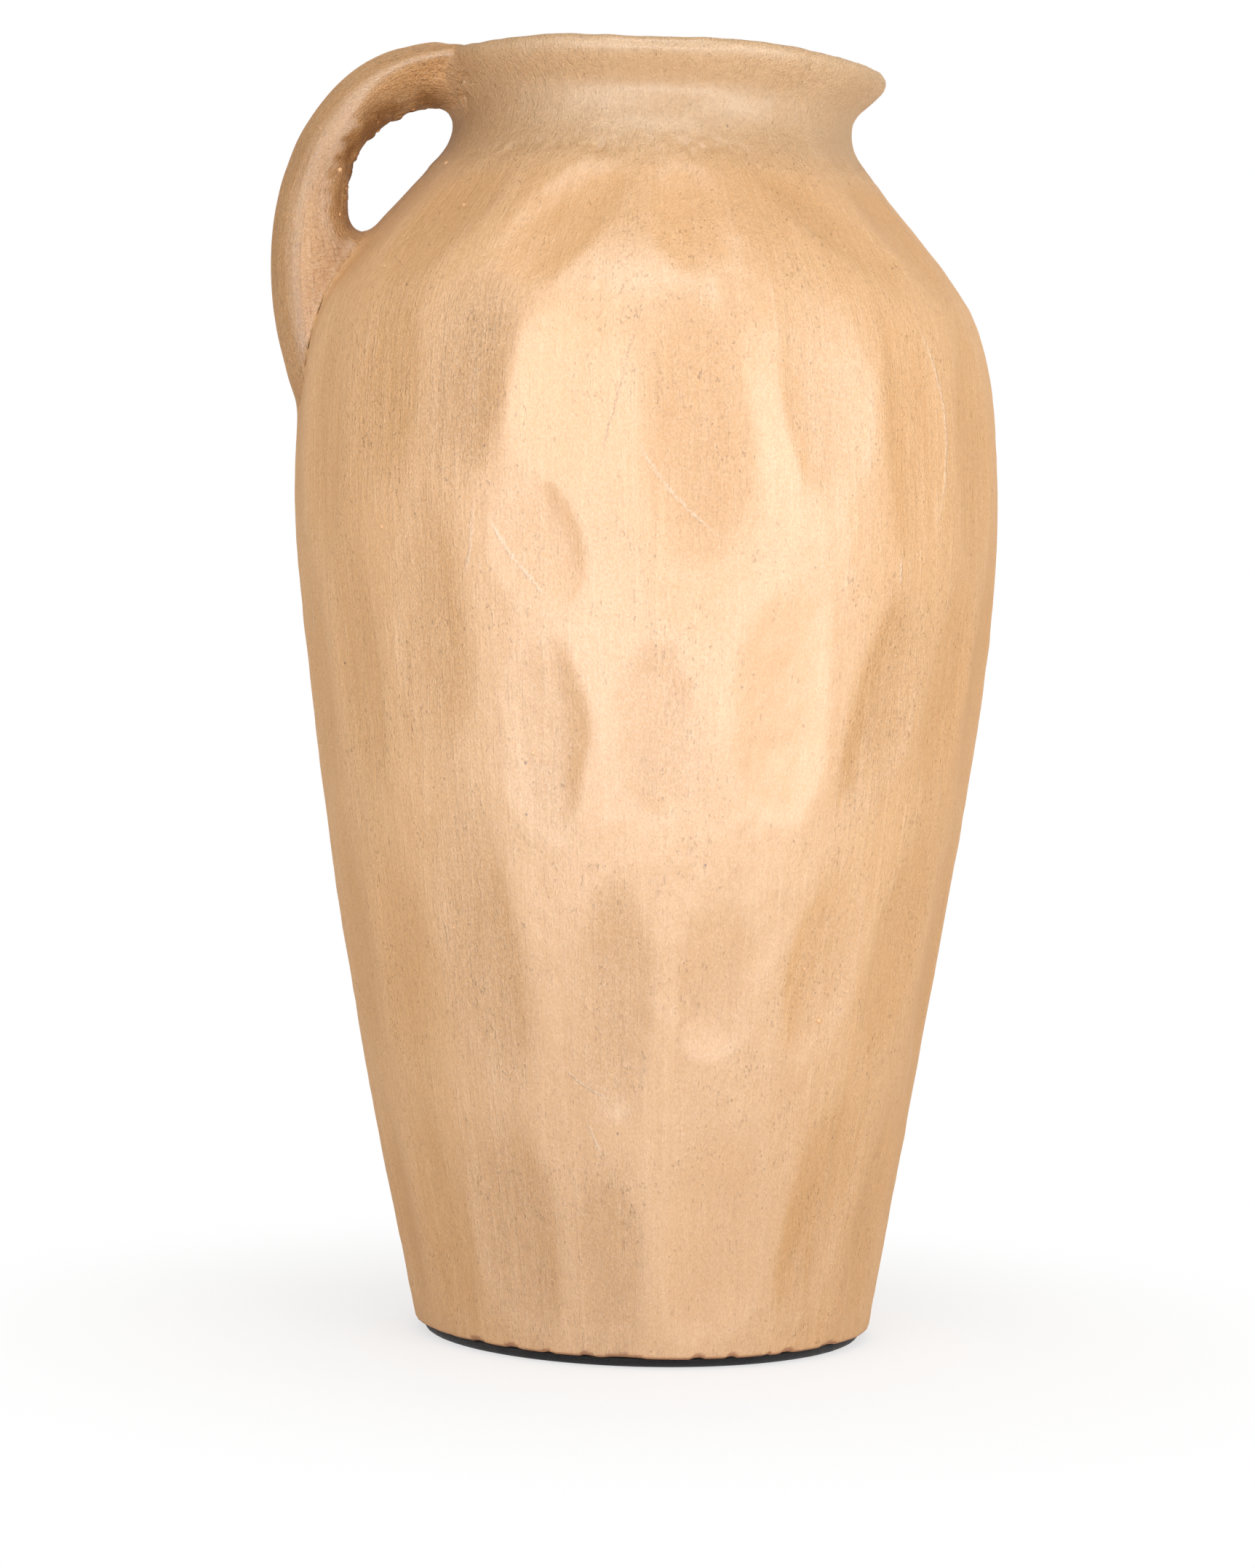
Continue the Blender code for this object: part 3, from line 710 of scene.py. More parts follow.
# %% Fillets
GAP_FILLET, CREASE_FILLET, SIDE_FILLET = 0.0085, 0.0018, 0.0140
SLIP_START, SLIP_END = 0.03, 0.45


def ring_faces(rows, around, closed):
    """Quads between rings, each counted so that it faces out; closed joins the last ring to the first."""
    low = np.arange(rows if closed else rows - 1)[:, None] * around
    high = (low + around) % (rows * around)
    here = np.arange(around)[None, :]
    after = (here + 1) % around
    quads = np.stack([low + here, low + after, high + after, high + here], axis=-1)
    return quads.reshape(-1, 4)


def strap_ends():
    """Strips that close both ends of the strap, inside the clay of the wall."""
    last = (STRAP_RINGS - 1) * STRAP_SIDES
    faces = []
    for j in range(STRAP_SIDES // 2):
        corners = (j, (STRAP_SIDES - j) % STRAP_SIDES, STRAP_SIDES - j - 1, j + 1)
        corners = list(dict.fromkeys(corners))
        faces.append(corners)
        faces.append([last + c for c in reversed(corners)])
    return faces


def fillet_rise(gap, likeness, reach):
    """How far a skin rises onto the fillet between it and another one, and how far past its middle it is.

    The likeness is the cosine of the angle between the two skins' directions: 0 at a square corner.
    """
    bend = 1.0 - np.clip(likeness, 0.0, 0.9)
    near = np.clip(reach - gap, 0.0, None)
    before = 2 * reach - near * bend - 2 * np.sqrt(np.clip(reach**2 - reach * near * bend, 0.0, None))
    before = before / bend**2
    half = (reach + gap) * bend + 2 * reach * (1.0 - bend)
    after = (half - np.sqrt(np.clip(half**2 - (bend * near) ** 2, 0.0, None))) / bend**2
    rise = np.clip(np.where(gap >= bend * before, before, after), 0.0, 1.2 * reach)
    return rise, (bend * rise - gap) / reach


def gaps_to(points, tree, far):
    """Signed distance from each point to the other skin, and the face that is nearest."""
    gaps = np.full(len(points), far)
    faces = np.full(len(points), -1)
    for k, point in enumerate(points.tolist()):
        spot, normal, face, distance = tree.find_nearest(point, far)
        if spot is not None:
            side = sum((p - s) * n for p, s, n in zip(point, spot, normal))
            gaps[k] = math.copysign(distance, side)
            faces[k] = face
    return gaps, faces


downward = -np.sin(SIDE_ANGLE)
neck_reach = CREASE_FILLET + (SIDE_FILLET - CREASE_FILLET) * smoothstep(-0.25, 0.25, downward)
neck_reach = neck_reach + (GAP_FILLET - SIDE_FILLET) * smoothstep(0.45, 0.95, downward)
foot_reach = CREASE_FILLET + (GAP_FILLET - CREASE_FILLET) * smoothstep(0.05, 0.70, downward)
upper_half = (np.arange(STRAP_RINGS) < STRAP_RINGS / 2)[:, None]
side_reach = np.where(upper_half, neck_reach, foot_reach).ravel()
strap_quads = ring_faces(STRAP_RINGS, STRAP_SIDES, False)
strap_faces = strap_quads.tolist() + strap_ends()
strap_tree = BVHTree.FromPolygons(strap.reshape(-1, 3).tolist(), strap_faces)
outer_count = len(outer_rows)
near_columns = np.flatnonzero(np.sin(TURN) < -0.35)
wall_patch = skin[outer_ends[2] : outer_count][:, near_columns]
patch_faces = ring_faces(len(wall_patch), len(near_columns), False)
patch_faces = patch_faces[np.arange(len(patch_faces)) % len(near_columns) != len(near_columns) - 1]
wall_tree = BVHTree.FromPolygons(wall_patch.reshape(-1, 3).tolist(), patch_faces.tolist())

patch_rows = slice(outer_ends[2], outer_count)
patch_columns = slice(near_columns[0], near_columns[-1] + 1)
wall_normals = grid_normals(skin)[patch_rows, patch_columns].reshape(-1, 3)
strap_normals = grid_normals(strap).reshape(-1, 3)
wall_gaps, wall_nearest = gaps_to(wall_patch.reshape(-1, 3), strap_tree, SIDE_FILLET)
strap_gaps, strap_nearest = gaps_to(strap.reshape(-1, 3), wall_tree, SIDE_FILLET)
wall_gaps = np.where(wall_nearest < len(strap_quads), wall_gaps, -SIDE_FILLET)
facing_strap = np.minimum(np.clip(wall_nearest, 0, None), len(strap_quads) - 1)
facing_wall = patch_faces[np.clip(strap_nearest, 0, None), 0]
wall_likeness = (wall_normals * smooth_strap_normals[facing_strap]).sum(axis=-1)
strap_likeness = (smooth_strap_normals * wall_normals[facing_wall]).sum(axis=-1)
wall_rise, wall_past = fillet_rise(wall_gaps, wall_likeness, side_reach[facing_strap])
strap_rise, strap_past = fillet_rise(strap_gaps, strap_likeness, side_reach)
print("wall points lifted:", int((wall_rise > 0).sum()), "strap points lifted:", int((strap_rise > 0).sum()))

# Both skins are shaded as if they ran on along the fillet, and past its middle they slip under each other
shaded_skin, shaded_strap = skin.copy(), strap + (strap_rise[:, None] * strap_normals).reshape(strap.shape)
shaded_skin[patch_rows, patch_columns] += (wall_rise[:, None] * wall_normals).reshape(wall_patch.shape)
wall_kept = wall_rise * (1.0 - smoothstep(SLIP_START, SLIP_END, wall_past))
strap_kept = strap_rise * (1.0 - smoothstep(SLIP_START, SLIP_END, strap_past))
skin[patch_rows, patch_columns] += (wall_kept[:, None] * wall_normals).reshape(wall_patch.shape)
strap = strap + (strap_kept[:, None] * strap_normals).reshape(strap.shape)

# %% [markdown]
# ## From rings to meshes
#
# Each clay piece is a closed shell: its rows of the outer skin, its rows of the inner one, and a flat strip
# where it meets its neighbour. The shading direction at each corner goes with the mesh, so the light
# doesn't change at a joint. Masks that say what the skin is like at each point go with it too.

# %% Mesh helpers


def mesh_object(name, points, faces, corner_normals=None):
    """A new object in the scene, shaded smooth, or by a direction for each corner of its faces."""
    mesh = bpy.data.meshes.new(name)
    mesh.from_pydata(points.tolist(), [], faces if isinstance(faces, list) else faces.tolist())
    mesh.shade_smooth()
    if corner_normals is not None:
        mesh.normals_split_custom_set(corner_normals.reshape(-1, 3).tolist())
    made = in_scene(name, mesh)
    triangles = sum(len(face.vertices) - 2 for face in mesh.polygons)
    print(name, "-", len(points), "points,", triangles, "triangles")
    return made


def set_mask(piece, name, values):
    """Stores one number for each point of the mesh, for the materials to read."""
    layer = piece.data.attributes.new(name, "FLOAT", "POINT")
    layer.data.foreach_set("value", np.asarray(values, np.float32).ravel())


def set_places(piece, name, values):
    """Stores one place for each point of the mesh, for the materials to read."""
    layer = piece.data.attributes.new(name, "FLOAT_VECTOR", "POINT")
    layer.data.foreach_set("vector", np.asarray(values, np.float32).ravel())


def flat_normals(points, quads):
    """Square to each quad."""
    a, b, c, d = (points[quads[:, k]] for k in range(4))
    return unit(np.cross(c - a, d - b))


# %% Masks for the skin
PAINT_RUN = 0.034
CHIP_DEPTH = 0.00012
DEEPEST_DISH = 0.0024
STRAP_AZIMUTH = -80.0
INSIDE_OFFSET = 0.7
skin_normals = grid_normals(shaded_skin)
strap_normals = grid_normals(shaded_strap)
skin_along = np.concatenate([outer_rows, inner_rows[1:]])
skin_inside = np.arange(len(skin)) >= outer_count
outer_grid = (TURN[None, :], outer_rows[:, None])
skin_place = unrolled(TURN[None, :], skin_along[:, None] + INSIDE_OFFSET * skin_inside[:, None])


def stretched_over(outer_values, inside_value):
    """Values for the whole skin from those of its outer side."""
    inner = np.full((len(skin) - outer_count, AROUND), inside_value)
    return np.concatenate([np.broadcast_to(outer_values, (outer_count, AROUND)), inner])


hollow_depth, streaky_share = dishes(*outer_grid)
neck_band = np.clip(neck_seam(*outer_grid), 0.0, 1.0)
outer_heights = height_at(outer_rows)
on_neck = smoothstep(0.405, 0.425, outer_heights)[:, None]
outer_places = unrolled(*outer_grid)
near_strap = np.zeros((outer_count, AROUND))
touched = np.where(wall_nearest >= 0, np.clip(1.0 - np.abs(wall_gaps) / SIDE_FILLET, 0.0, 1.0), 0.0)
near_strap[patch_rows, patch_columns] = touched.reshape(wall_patch.shape[:2])
painted_to = FLARE_ALONG - PAINT_RUN + 0.007 * cloud(skin_place[outer_count:] * (1, 1, 0), 0.020, 92)
painted_to = painted_to + 0.002 * cloud(skin_place[outer_count:], 0.0045, 93)
unpainted = smoothstep(-0.001, 0.001, painted_to - inner_rows[1:, None])
off_crest = np.abs(outer_rows - CREST_ALONG)[:, None]
# Darker patches in the bare clay colour along the lip's crest
crest_dark_patches = smoothstep(0.10, 0.35, cloud(outer_places, 0.013, 94))
crest_dark_patches = crest_dark_patches * (1.0 - smoothstep(0.0005, 0.0014, off_crest))
chips_and_crest_patches = np.maximum(1.0 * (base_edge(*outer_grid) > CHIP_DEPTH), 0.8 * crest_dark_patches)
from_strap = np.degrees(np.abs(wrapped(TURN - math.radians(STRAP_AZIMUTH))))[None, :]
beside_strap = (1.0 - smoothstep(12.0, 62.0, from_strap)) * smoothstep(0.36, 0.44, outer_heights)[:, None]
crumbly = 0.35 + 1.2 * smoothstep(0.1, 0.6, cloud(outer_places, 0.035, 91))
crumbly = crumbly + 14.0 * neck_band + 6.0 * near_strap
uneven = 0.15 + 0.85 * np.clip(streaky_share + 0.8 * on_neck, 0.0, 1.0)
waxed = (1.0 - 0.35 * on_neck) * (1.0 - 0.50 * streaky_share) * (1.0 - 0.6 * beside_strap)

# Each mask: its values over the whole skin, and its value on the flat strips at a joint
MASKS = {
    "hollow": (stretched_over(hollow_depth / DEEPEST_DISH, 0.5), 0.5),
    "streaky": (stretched_over(streaky_share, 0.1), 0.1),
    "seam_and_underside_shade": (stretched_over(neck_band, 0.0), 0.0),
    "bare": (np.concatenate([chips_and_crest_patches, unpainted]), 1.0),
    # Painted shade: browner where the strap meets the wall and beside the strap on the neck
    "shade": (stretched_over(0.35 * near_strap + 0.30 * beside_strap, 0.0), 0.0),
    "crumbs": (stretched_over(crumbly, 0.0), 0.0),
    "rough": (stretched_over(uneven, 0.5), 0.5),
    "wax": (stretched_over(waxed, 0.0), 0.0),
    # Painted light: the neck is given a paler colour, less of it beside the strap
    "painted_light_on_neck": (stretched_over(on_neck * (1.0 - 0.8 * beside_strap), 0.0), 0.0),
}
print("hollow from", MASKS["hollow"][0].min().round(2), "to", MASKS["hollow"][0].max().round(2))


# %% Walls and neck


def shell_piece(name, spans):
    """A closed shell from spans of rows of the skin."""
    rows = np.concatenate([np.arange(a, b + 1) for a, b in spans])
    quads = ring_faces(len(rows), AROUND, True)
    points = skin[rows].reshape(-1, 3)
    corners = skin_normals[rows].reshape(-1, 3)[quads]
    jumps = np.flatnonzero(np.diff(np.append(rows, rows[0])) != 1)
    strips = np.concatenate([np.arange(row * AROUND, (row + 1) * AROUND) for row in jumps])
    corners[strips] = flat_normals(points, quads[strips])[:, None, :]
    piece = mesh_object(name, points, quads, corners)
    set_places(piece, "place", skin_place[rows])
    for mask, (values, _) in MASKS.items():
        set_mask(piece, mask, values[rows])
    return piece


lower_wall = shell_piece("lower_wall_clay", [(outer_ends[1], outer_ends[2]), (inner_ends[2], inner_ends[3])])
upper_wall = shell_piece("upper_wall_clay", [(outer_ends[2], outer_ends[3]), (inner_ends[1], inner_ends[2])])
neck = shell_piece("neck_clay", [(outer_ends[3], inner_ends[1])])


# %% Base slab and felt pad
PAD_AROUND = 360


def rings_inward(ring, shares):
    """Copies of a ring drawn in towards its middle."""
    middle = ring.mean(axis=0)
    return np.stack([middle + share * (ring - middle) for share in shares])


def end_discs(ring_count, around):
    """Faces that close the lowest and the highest ring of a stack."""
    highest = (ring_count - 1) * around
    return [list(range(around))[::-1], list(range(highest, highest + around))]


def slab():
    """The round slab under the wall: the lowest rows of the skin with a flat disc below and above."""
    side = skin[: outer_ends[1] + 1]
    below = rings_inward(side[0], (0.02, 0.35, 0.70, 0.95))
    above = rings_inward(side[-1], (0.95, 0.70, 0.35, 0.02))
    grid = np.concatenate([below, side, above])
    quads = ring_faces(len(grid), AROUND, False)
    points = grid.reshape(-1, 3)
    corners = grid_normals(grid).reshape(-1, 3)[quads]
    first, last = len(below) * AROUND, (len(below) + len(side) - 1) * AROUND
    corners[first:last] = skin_normals[: outer_ends[1] + 1].reshape(-1, 3)[quads[first:last] - first]
    for flat in (slice(0, first), slice(last, None)):
        corners[flat] = flat_normals(points, quads[flat])[:, None, :]
    ends = np.concatenate([np.tile((0.0, 0.0, -1.0), (AROUND, 1)), np.tile((0.0, 0.0, 1.0), (AROUND, 1))])
    corners = np.concatenate([corners.reshape(-1, 3), ends])
    faces = quads.tolist() + end_discs(len(grid), AROUND)
    piece = mesh_object("base_slab_clay", points, faces, corners)
    place = np.concatenate([below, skin_place[: outer_ends[1] + 1], above])
    set_places(piece, "place", place)
    for mask, (values, on_flats) in MASKS.items():
        flats = np.full((4, AROUND), on_flats)
        set_mask(piece, mask, np.concatenate([flats, values[: outer_ends[1] + 1], flats]))
    return piece


def pad():
    """The felt pad: a flat disc with a soft, slightly frayed edge."""
    turn = steps_round(PAD_AROUND)
    radius = BASE_RADIUS - PAD_INSET
    edge = ((0.02, 0.0), (0.5, 0.0), (0.985, 0.0), (0.9955, 0.0002), (1.0, 0.0008), (1.0005, 0.0013))
    edge += ((1.0, 0.0018), (0.9955, 0.0023), (0.985, 0.0025), (0.5, 0.0025), (0.02, 0.0025))
    shares, heights = np.array(edge).T
    circle = np.stack([np.sin(turn), -np.cos(turn)], axis=-1)
    grid = np.zeros((len(edge), PAD_AROUND, 3))
    grid[..., :2] = radius * shares[:, None, None] * circle
    grid[..., 2] = heights[:, None]
    fray = smoothstep(0.99, 1.0, shares)[:, None] * (cloud(grid, 0.0018, 81) + 0.6 * cloud(grid, 0.02, 82))
    grid[..., :2] += 0.00018 * fray[..., None] * circle
    quads = ring_faces(len(grid), PAD_AROUND, False)
    faces = quads.tolist() + end_discs(len(grid), PAD_AROUND)
    return mesh_object("felt_pad_fuzzy", grid.reshape(-1, 3), faces)


base_slab = slab()
felt_pad = pad()

# %% Handle
end_faces = strap_ends()
four_corners = np.array([face if len(face) == 4 else face + face[-1:] for face in end_faces])
end_normals = flat_normals(strap.reshape(-1, 3), four_corners)
strap_corners = [strap_normals.reshape(-1, 3)[strap_quads].reshape(-1, 3)]
strap_corners += [np.tile(normal, (len(face), 1)) for normal, face in zip(end_normals, end_faces)]
handle = mesh_object("handle_clay", strap.reshape(-1, 3), strap_faces, np.concatenate(strap_corners))
set_places(handle, "place", strap_place(strap_share) + (0.5, 0.5, 0.5))
even = np.ones(strap_share.shape)
rough = strap_roughness(strap_share)
# Painted shade in spots on the rough under side
under_spots = rough * (0.9 + 1.3 * cloud(strap, 0.0055, 77))
STRAP_MASKS = {
    "hollow": 0.5 * even,
    "streaky": 0.6 * even,
    # Painted shade: the strap's rough under side is darker
    "seam_and_underside_shade": 0.6 * rough,
    "painted_light_on_neck": 0.0 * even,
    "bare": 0.0 * even,
    # Painted shade over the handle, darkest on its under side, on top of its own blotchy brown tone
    "shade": 0.42 + 0.40 * cloud(strap, 0.016, 76) + under_spots,
    "crumbs": 1.0 + 22.0 * rough,
    "rough": 0.85 + 0.3 * rough,
    "wax": 0.65 - 0.5 * rough,
}
for mask, values in STRAP_MASKS.items():
    set_mask(handle, mask, values)

# %% [markdown]
# ## Materials
#
# The paint is a satin tan, put on with a brush in long vertical strokes. Its colour is a little deeper in
# the hollows and paler on the ridges, as painted shade and painted highlight on the relief. The fine marks
# are made in small groups of shader nodes that each give one number, and the numbers are joined in the
# material as layers of colour and as a bump.

# %% Node helpers


class Nodes:
    """Adds nodes to one tree. Inputs may be sockets or plain values, and results are sockets."""

    def __init__(self, tree):
        self.tree = tree

    def add(self, kind, **settings):
        """A node with these properties."""
        node = self.tree.nodes.new(kind)
        for name, value in settings.items():
            setattr(node, name, value)
        return node

    def feed(self, socket, value):
        """Links the value to an input if it is a socket, and sets it on the input if not."""
        if isinstance(value, bpy.types.NodeSocket):
            self.tree.links.new(value, socket)
        else:
            socket.default_value = value

    def feed_all(self, sockets, values):
        for socket, value in zip(sockets, values):
            self.feed(socket, value)

    def feed_named(self, node, values):
        for name, value in values.items():
            self.feed(node.inputs[name], value)

    def maths(self, operation, *values, clamp=False):
        node = self.add("ShaderNodeMath", operation=operation, use_clamp=clamp)
        self.feed_all(node.inputs, values)
        return node.outputs[0]

    def times(self, first, second, clamp=False):
        return self.maths("MULTIPLY", first, second, clamp=clamp)

    def plus(self, first, second, clamp=False):
        return self.maths("ADD", first, second, clamp=clamp)

    def minus(self, first, second):
        return self.maths("SUBTRACT", first, second)

    def bump(self, shader, height, distance):
        """Gives a shader the relief of these heights, in units of this distance in metres."""
        node = self.add("ShaderNodeBump")
        self.feed_named(node, {"Strength": 1.0, "Distance": distance, "Height": height})
        self.link(node.outputs["Normal"], shader.inputs["Normal"])

    def scaled(self, value, scale, start):
        """The value times a scale, plus a start."""
        return self.maths("MULTIPLY_ADD", value, scale, start)

    def stepped(self, value, low, high, start=0.0, end=1.0):
        """A smooth step of a value between two limits."""
        node = self.add("ShaderNodeMapRange", interpolation_type="SMOOTHSTEP")
        self.feed_all(node.inputs, (value, low, high, start, end))
        return node.outputs["Result"]

    def noise(self, places, per_metre, detail=2.0, roughness=0.5, distortion=0.0):
        """Noise with about this many lumps per metre along each of the three axes."""
        squeezed = self.add("ShaderNodeVectorMath", operation="MULTIPLY")
        self.feed_all(squeezed.inputs, (places, per_metre))
        node = self.add("ShaderNodeTexNoise")
        shape = {"Scale": 1.0, "Detail": detail, "Roughness": roughness, "Distortion": distortion}
        self.feed_named(node, {"Vector": squeezed.outputs[0], **shape})
        return node.outputs[0]

    def mixed(self, share, first, second):
        """A colour that goes from the first to the second as the share goes from 0 to 1."""
        node = self.add("ShaderNodeMix", data_type="RGBA")
        for number, value in zip(COLOUR_MIX_INPUTS, (share, first, second)):
            self.feed(node.inputs[number], value)
        return node.outputs[COLOUR_MIX_OUTPUT]

    def attribute(self, name, output="Fac"):
        return self.add("ShaderNodeAttribute", attribute_name=name).outputs[output]

    def group(self, group, values):
        node = self.add("ShaderNodeGroup", node_tree=group)
        self.feed_named(node, values)
        return node.outputs

    def link(self, output, socket):
        self.tree.links.new(output, socket)


COLOUR_MIX_INPUTS, COLOUR_MIX_OUTPUT = (0, 6, 7), 2


def new_group(name, inputs, outputs):
    """An empty shader group with these inputs (name: start value) and outputs, all numbers, and a place."""
    tree = bpy.data.node_groups.new(name, "ShaderNodeTree")
    for label, start in inputs.items():
        kind = "NodeSocketVector" if start is None else "NodeSocketFloat"
        socket = tree.interface.new_socket(name=label, in_out="INPUT", socket_type=kind)
        if start is not None:
            socket.default_value = start
    for label in outputs:
        tree.interface.new_socket(name=label, in_out="OUTPUT", socket_type="NodeSocketFloat")
    n = Nodes(tree)
    return n, n.add("NodeGroupInput").outputs, n.add("NodeGroupOutput")


# %% Groups for brush strokes, sandy grain, pin holes and thin lines


def brush_group():
    """Heights of long brush strokes that follow the third axis of the places."""
    n, given, out = new_group("Brush strokes", {"Place": None}, ["Height"])
    place = given["Place"]
    wide = n.noise(place, (420, 420, 26), 2.0, 0.55, 0.3)
    fine = n.noise(place, (900, 900, 50), 2.0, 0.6, 0.3)
    hair = n.noise(place, (2600, 2600, 240), 1.0, 0.5)
    fine = n.maths("ABSOLUTE", n.minus(fine, 0.5))
    n.feed_named(out, {"Height": n.scaled(hair, 0.16, n.scaled(fine, 1.3, wide))})
    return n.tree


def grain_group():
    """Heights of the sandy grain under the paint, with short pits that the brush left open."""
    n, given, out = new_group("Sandy grain", {"Place": None}, ["Height", "Sand", "Pits"])
    place = given["Place"]
    sand = n.noise(place, (1500, 1500, 1000), 2.0, 0.65)
    peel = n.noise(place, (620, 620, 400), 2.0, 0.5)
    patch = n.noise(place, (60, 60, 45), 2.0, 0.6)
    pits = n.noise(place, (900, 900, 520), 1.0, 0.5)
    pits = n.times(n.stepped(pits, 0.66, 0.76), n.stepped(patch, 0.42, 0.60))
    height = n.scaled(pits, -0.7, n.scaled(peel, 0.8, sand))
    n.feed_named(out, {"Height": height, "Sand": sand, "Pits": pits})
    return n.tree


def dots_group():
    """Small round dots scattered over a surface; Chance says how many of the cells hold one."""
    inputs = {"Place": None, "Cells per metre": 200.0, "Size": 0.2, "Chance": 0.2}
    n, given, out = new_group("Dots", inputs, ["Mask"])
    cells = n.add("ShaderNodeTexVoronoi")
    n.feed_named(cells, {"Vector": given["Place"], "Scale": given["Cells per metre"]})
    dot = n.stepped(cells.outputs["Distance"], given["Size"], 0.0)
    split = n.add("ShaderNodeSeparateColor")
    n.feed(split.inputs[0], cells.outputs["Color"])
    chosen = n.maths("LESS_THAN", split.outputs[0], given["Chance"])
    n.feed_named(out, {"Mask": n.times(dot, chosen)})
    return n.tree


def line_group():
    """One thin line that runs up the wall, bowed like the edge of a scraped dish, as a mask from 0 to 1."""
    inputs = {"Across": 0.0, "Up": 0.0, "Middle across": 0.0, "Middle up": 0.0}
    inputs |= {"Half length": 0.01, "Slope": 0.0, "Bow": 0.0, "Half width": 0.0005}
    n, given, out = new_group("Thin line", inputs, ["Mask"])
    rise = n.minus(given["Up"], given["Middle up"])
    share = n.maths("DIVIDE", rise, given["Half length"])
    aside = n.minus(given["Across"], given["Middle across"])
    aside = n.minus(aside, n.times(given["Slope"], rise))
    bowed = n.times(given["Bow"], n.times(share, share))
    off = n.maths("DIVIDE", n.minus(aside, bowed), given["Half width"])
    body = n.stepped(n.maths("ABSOLUTE", off), 1.0, 0.0)
    ends = n.stepped(n.maths("ABSOLUTE", share), 1.0, 0.45)
    n.feed_named(out, {"Mask": n.times(body, ends)})
    return n.tree


BRUSH, GRAIN, DOTS, LINE = brush_group(), grain_group(), dots_group(), line_group()

# %% Painted clay
PAINT = (0.812, 0.490, 0.248, 1.0)
PAINT_DEEP = (0.640, 0.335, 0.133, 1.0)
PAINT_PALE = (0.850, 0.560, 0.330, 1.0)
# Paler colour for the neck, painted light
NECK_PAINTED_LIGHT = (0.985, 0.680, 0.410, 1.0)
# Brown for painted shade by and under the strap, and for the handle's blotchy tone
BROWN_SHADE_AND_TONE = (0.470, 0.225, 0.080, 1.0)
BARE_CLAY = (0.520, 0.270, 0.150, 1.0)
SCRATCH = (0.250, 0.130, 0.100, 1.0)
# A painted highlight along the thin raised edges
EDGE_HIGHLIGHT = (0.930, 0.730, 0.560, 1.0)
PIN_HOLES = {"Cells per metre": 90.0, "Size": 0.075, "Chance": 0.16}

# Thin raised edges with painted highlights: azimuth, height, half length (mm), slope, bow (mm), half width
# (mm)
RAISED_LINES = (
    (-20.7, 276, 16, -0.77, 3.0, 1.4),
    (-27.7, 282, 14, 0.17, -0.8, 1.2),
    (3.9, 299, 18, -0.89, 4.5, 1.5),
    (-11.2, 99, 7, -1.88, 4.7, 1.2),
    (-9.1, 80, 7, -0.55, 0.0, 1.2),
    (54.6, 328, 40, -0.09, -11.4, 1.2),
    (43.1, 275, 5, -0.09, 0.0, 1.4),
    (-62.7, 406, 17, 0.76, 6.6, 1.1),
    (-74.3, 253, 13, 0.30, -1.7, 0.8),
    (71.2, 109, 28, -0.08, -2.9, 1.2),
)
SCRATCHES = (
    (-4.1, 331, 28, 0.27, 0.1, 0.8),
    (-49.2, 378, 4, -1.97, -0.1, 0.5),
    (-43.7, 369, 4, -1.70, 0.2, 0.5),
)


def start_material(name):
    """A new material with only a shader in it."""
    made = bpy.data.materials.new(name)
    made.use_nodes = True
    made.node_tree.nodes.clear()
    n = Nodes(made.node_tree)
    shader = n.add("ShaderNodeBsdfPrincipled")
    out = n.add("ShaderNodeOutputMaterial")
    n.link(shader.outputs[0], out.inputs["Surface"])
    return made, n, shader, out


def thin_lines(n, place, lines):
    """A mask of all these lines, drawn on the wall as if it were unrolled."""
    split = n.add("ShaderNodeSeparateXYZ")
    n.feed(split.inputs[0], place)
    turn = n.maths("ARCTAN2", split.outputs[0], split.outputs[1])
    shake = n.minus(n.noise(place, (220, 220, 220), 2.0, 0.6), 0.5)
    across = n.scaled(turn, BELLY_RADIUS, n.times(shake, 0.0024))
    total = 0.0
    for azimuth, height, half_length, slope, bow, half_width in lines:
        line = {
            "Across": across,
            "Up": split.outputs[2],
            "Middle across": math.radians(azimuth) * BELLY_RADIUS,
            "Middle up": float(along_at_height(0.001 * height)),
            "Half length": 0.001 * half_length,
            "Slope": slope,
            "Bow": 0.001 * bow,
            "Half width": 0.001 * half_width,
        }
        total = n.plus(total, n.group(LINE, line)["Mask"], clamp=True)
    return total


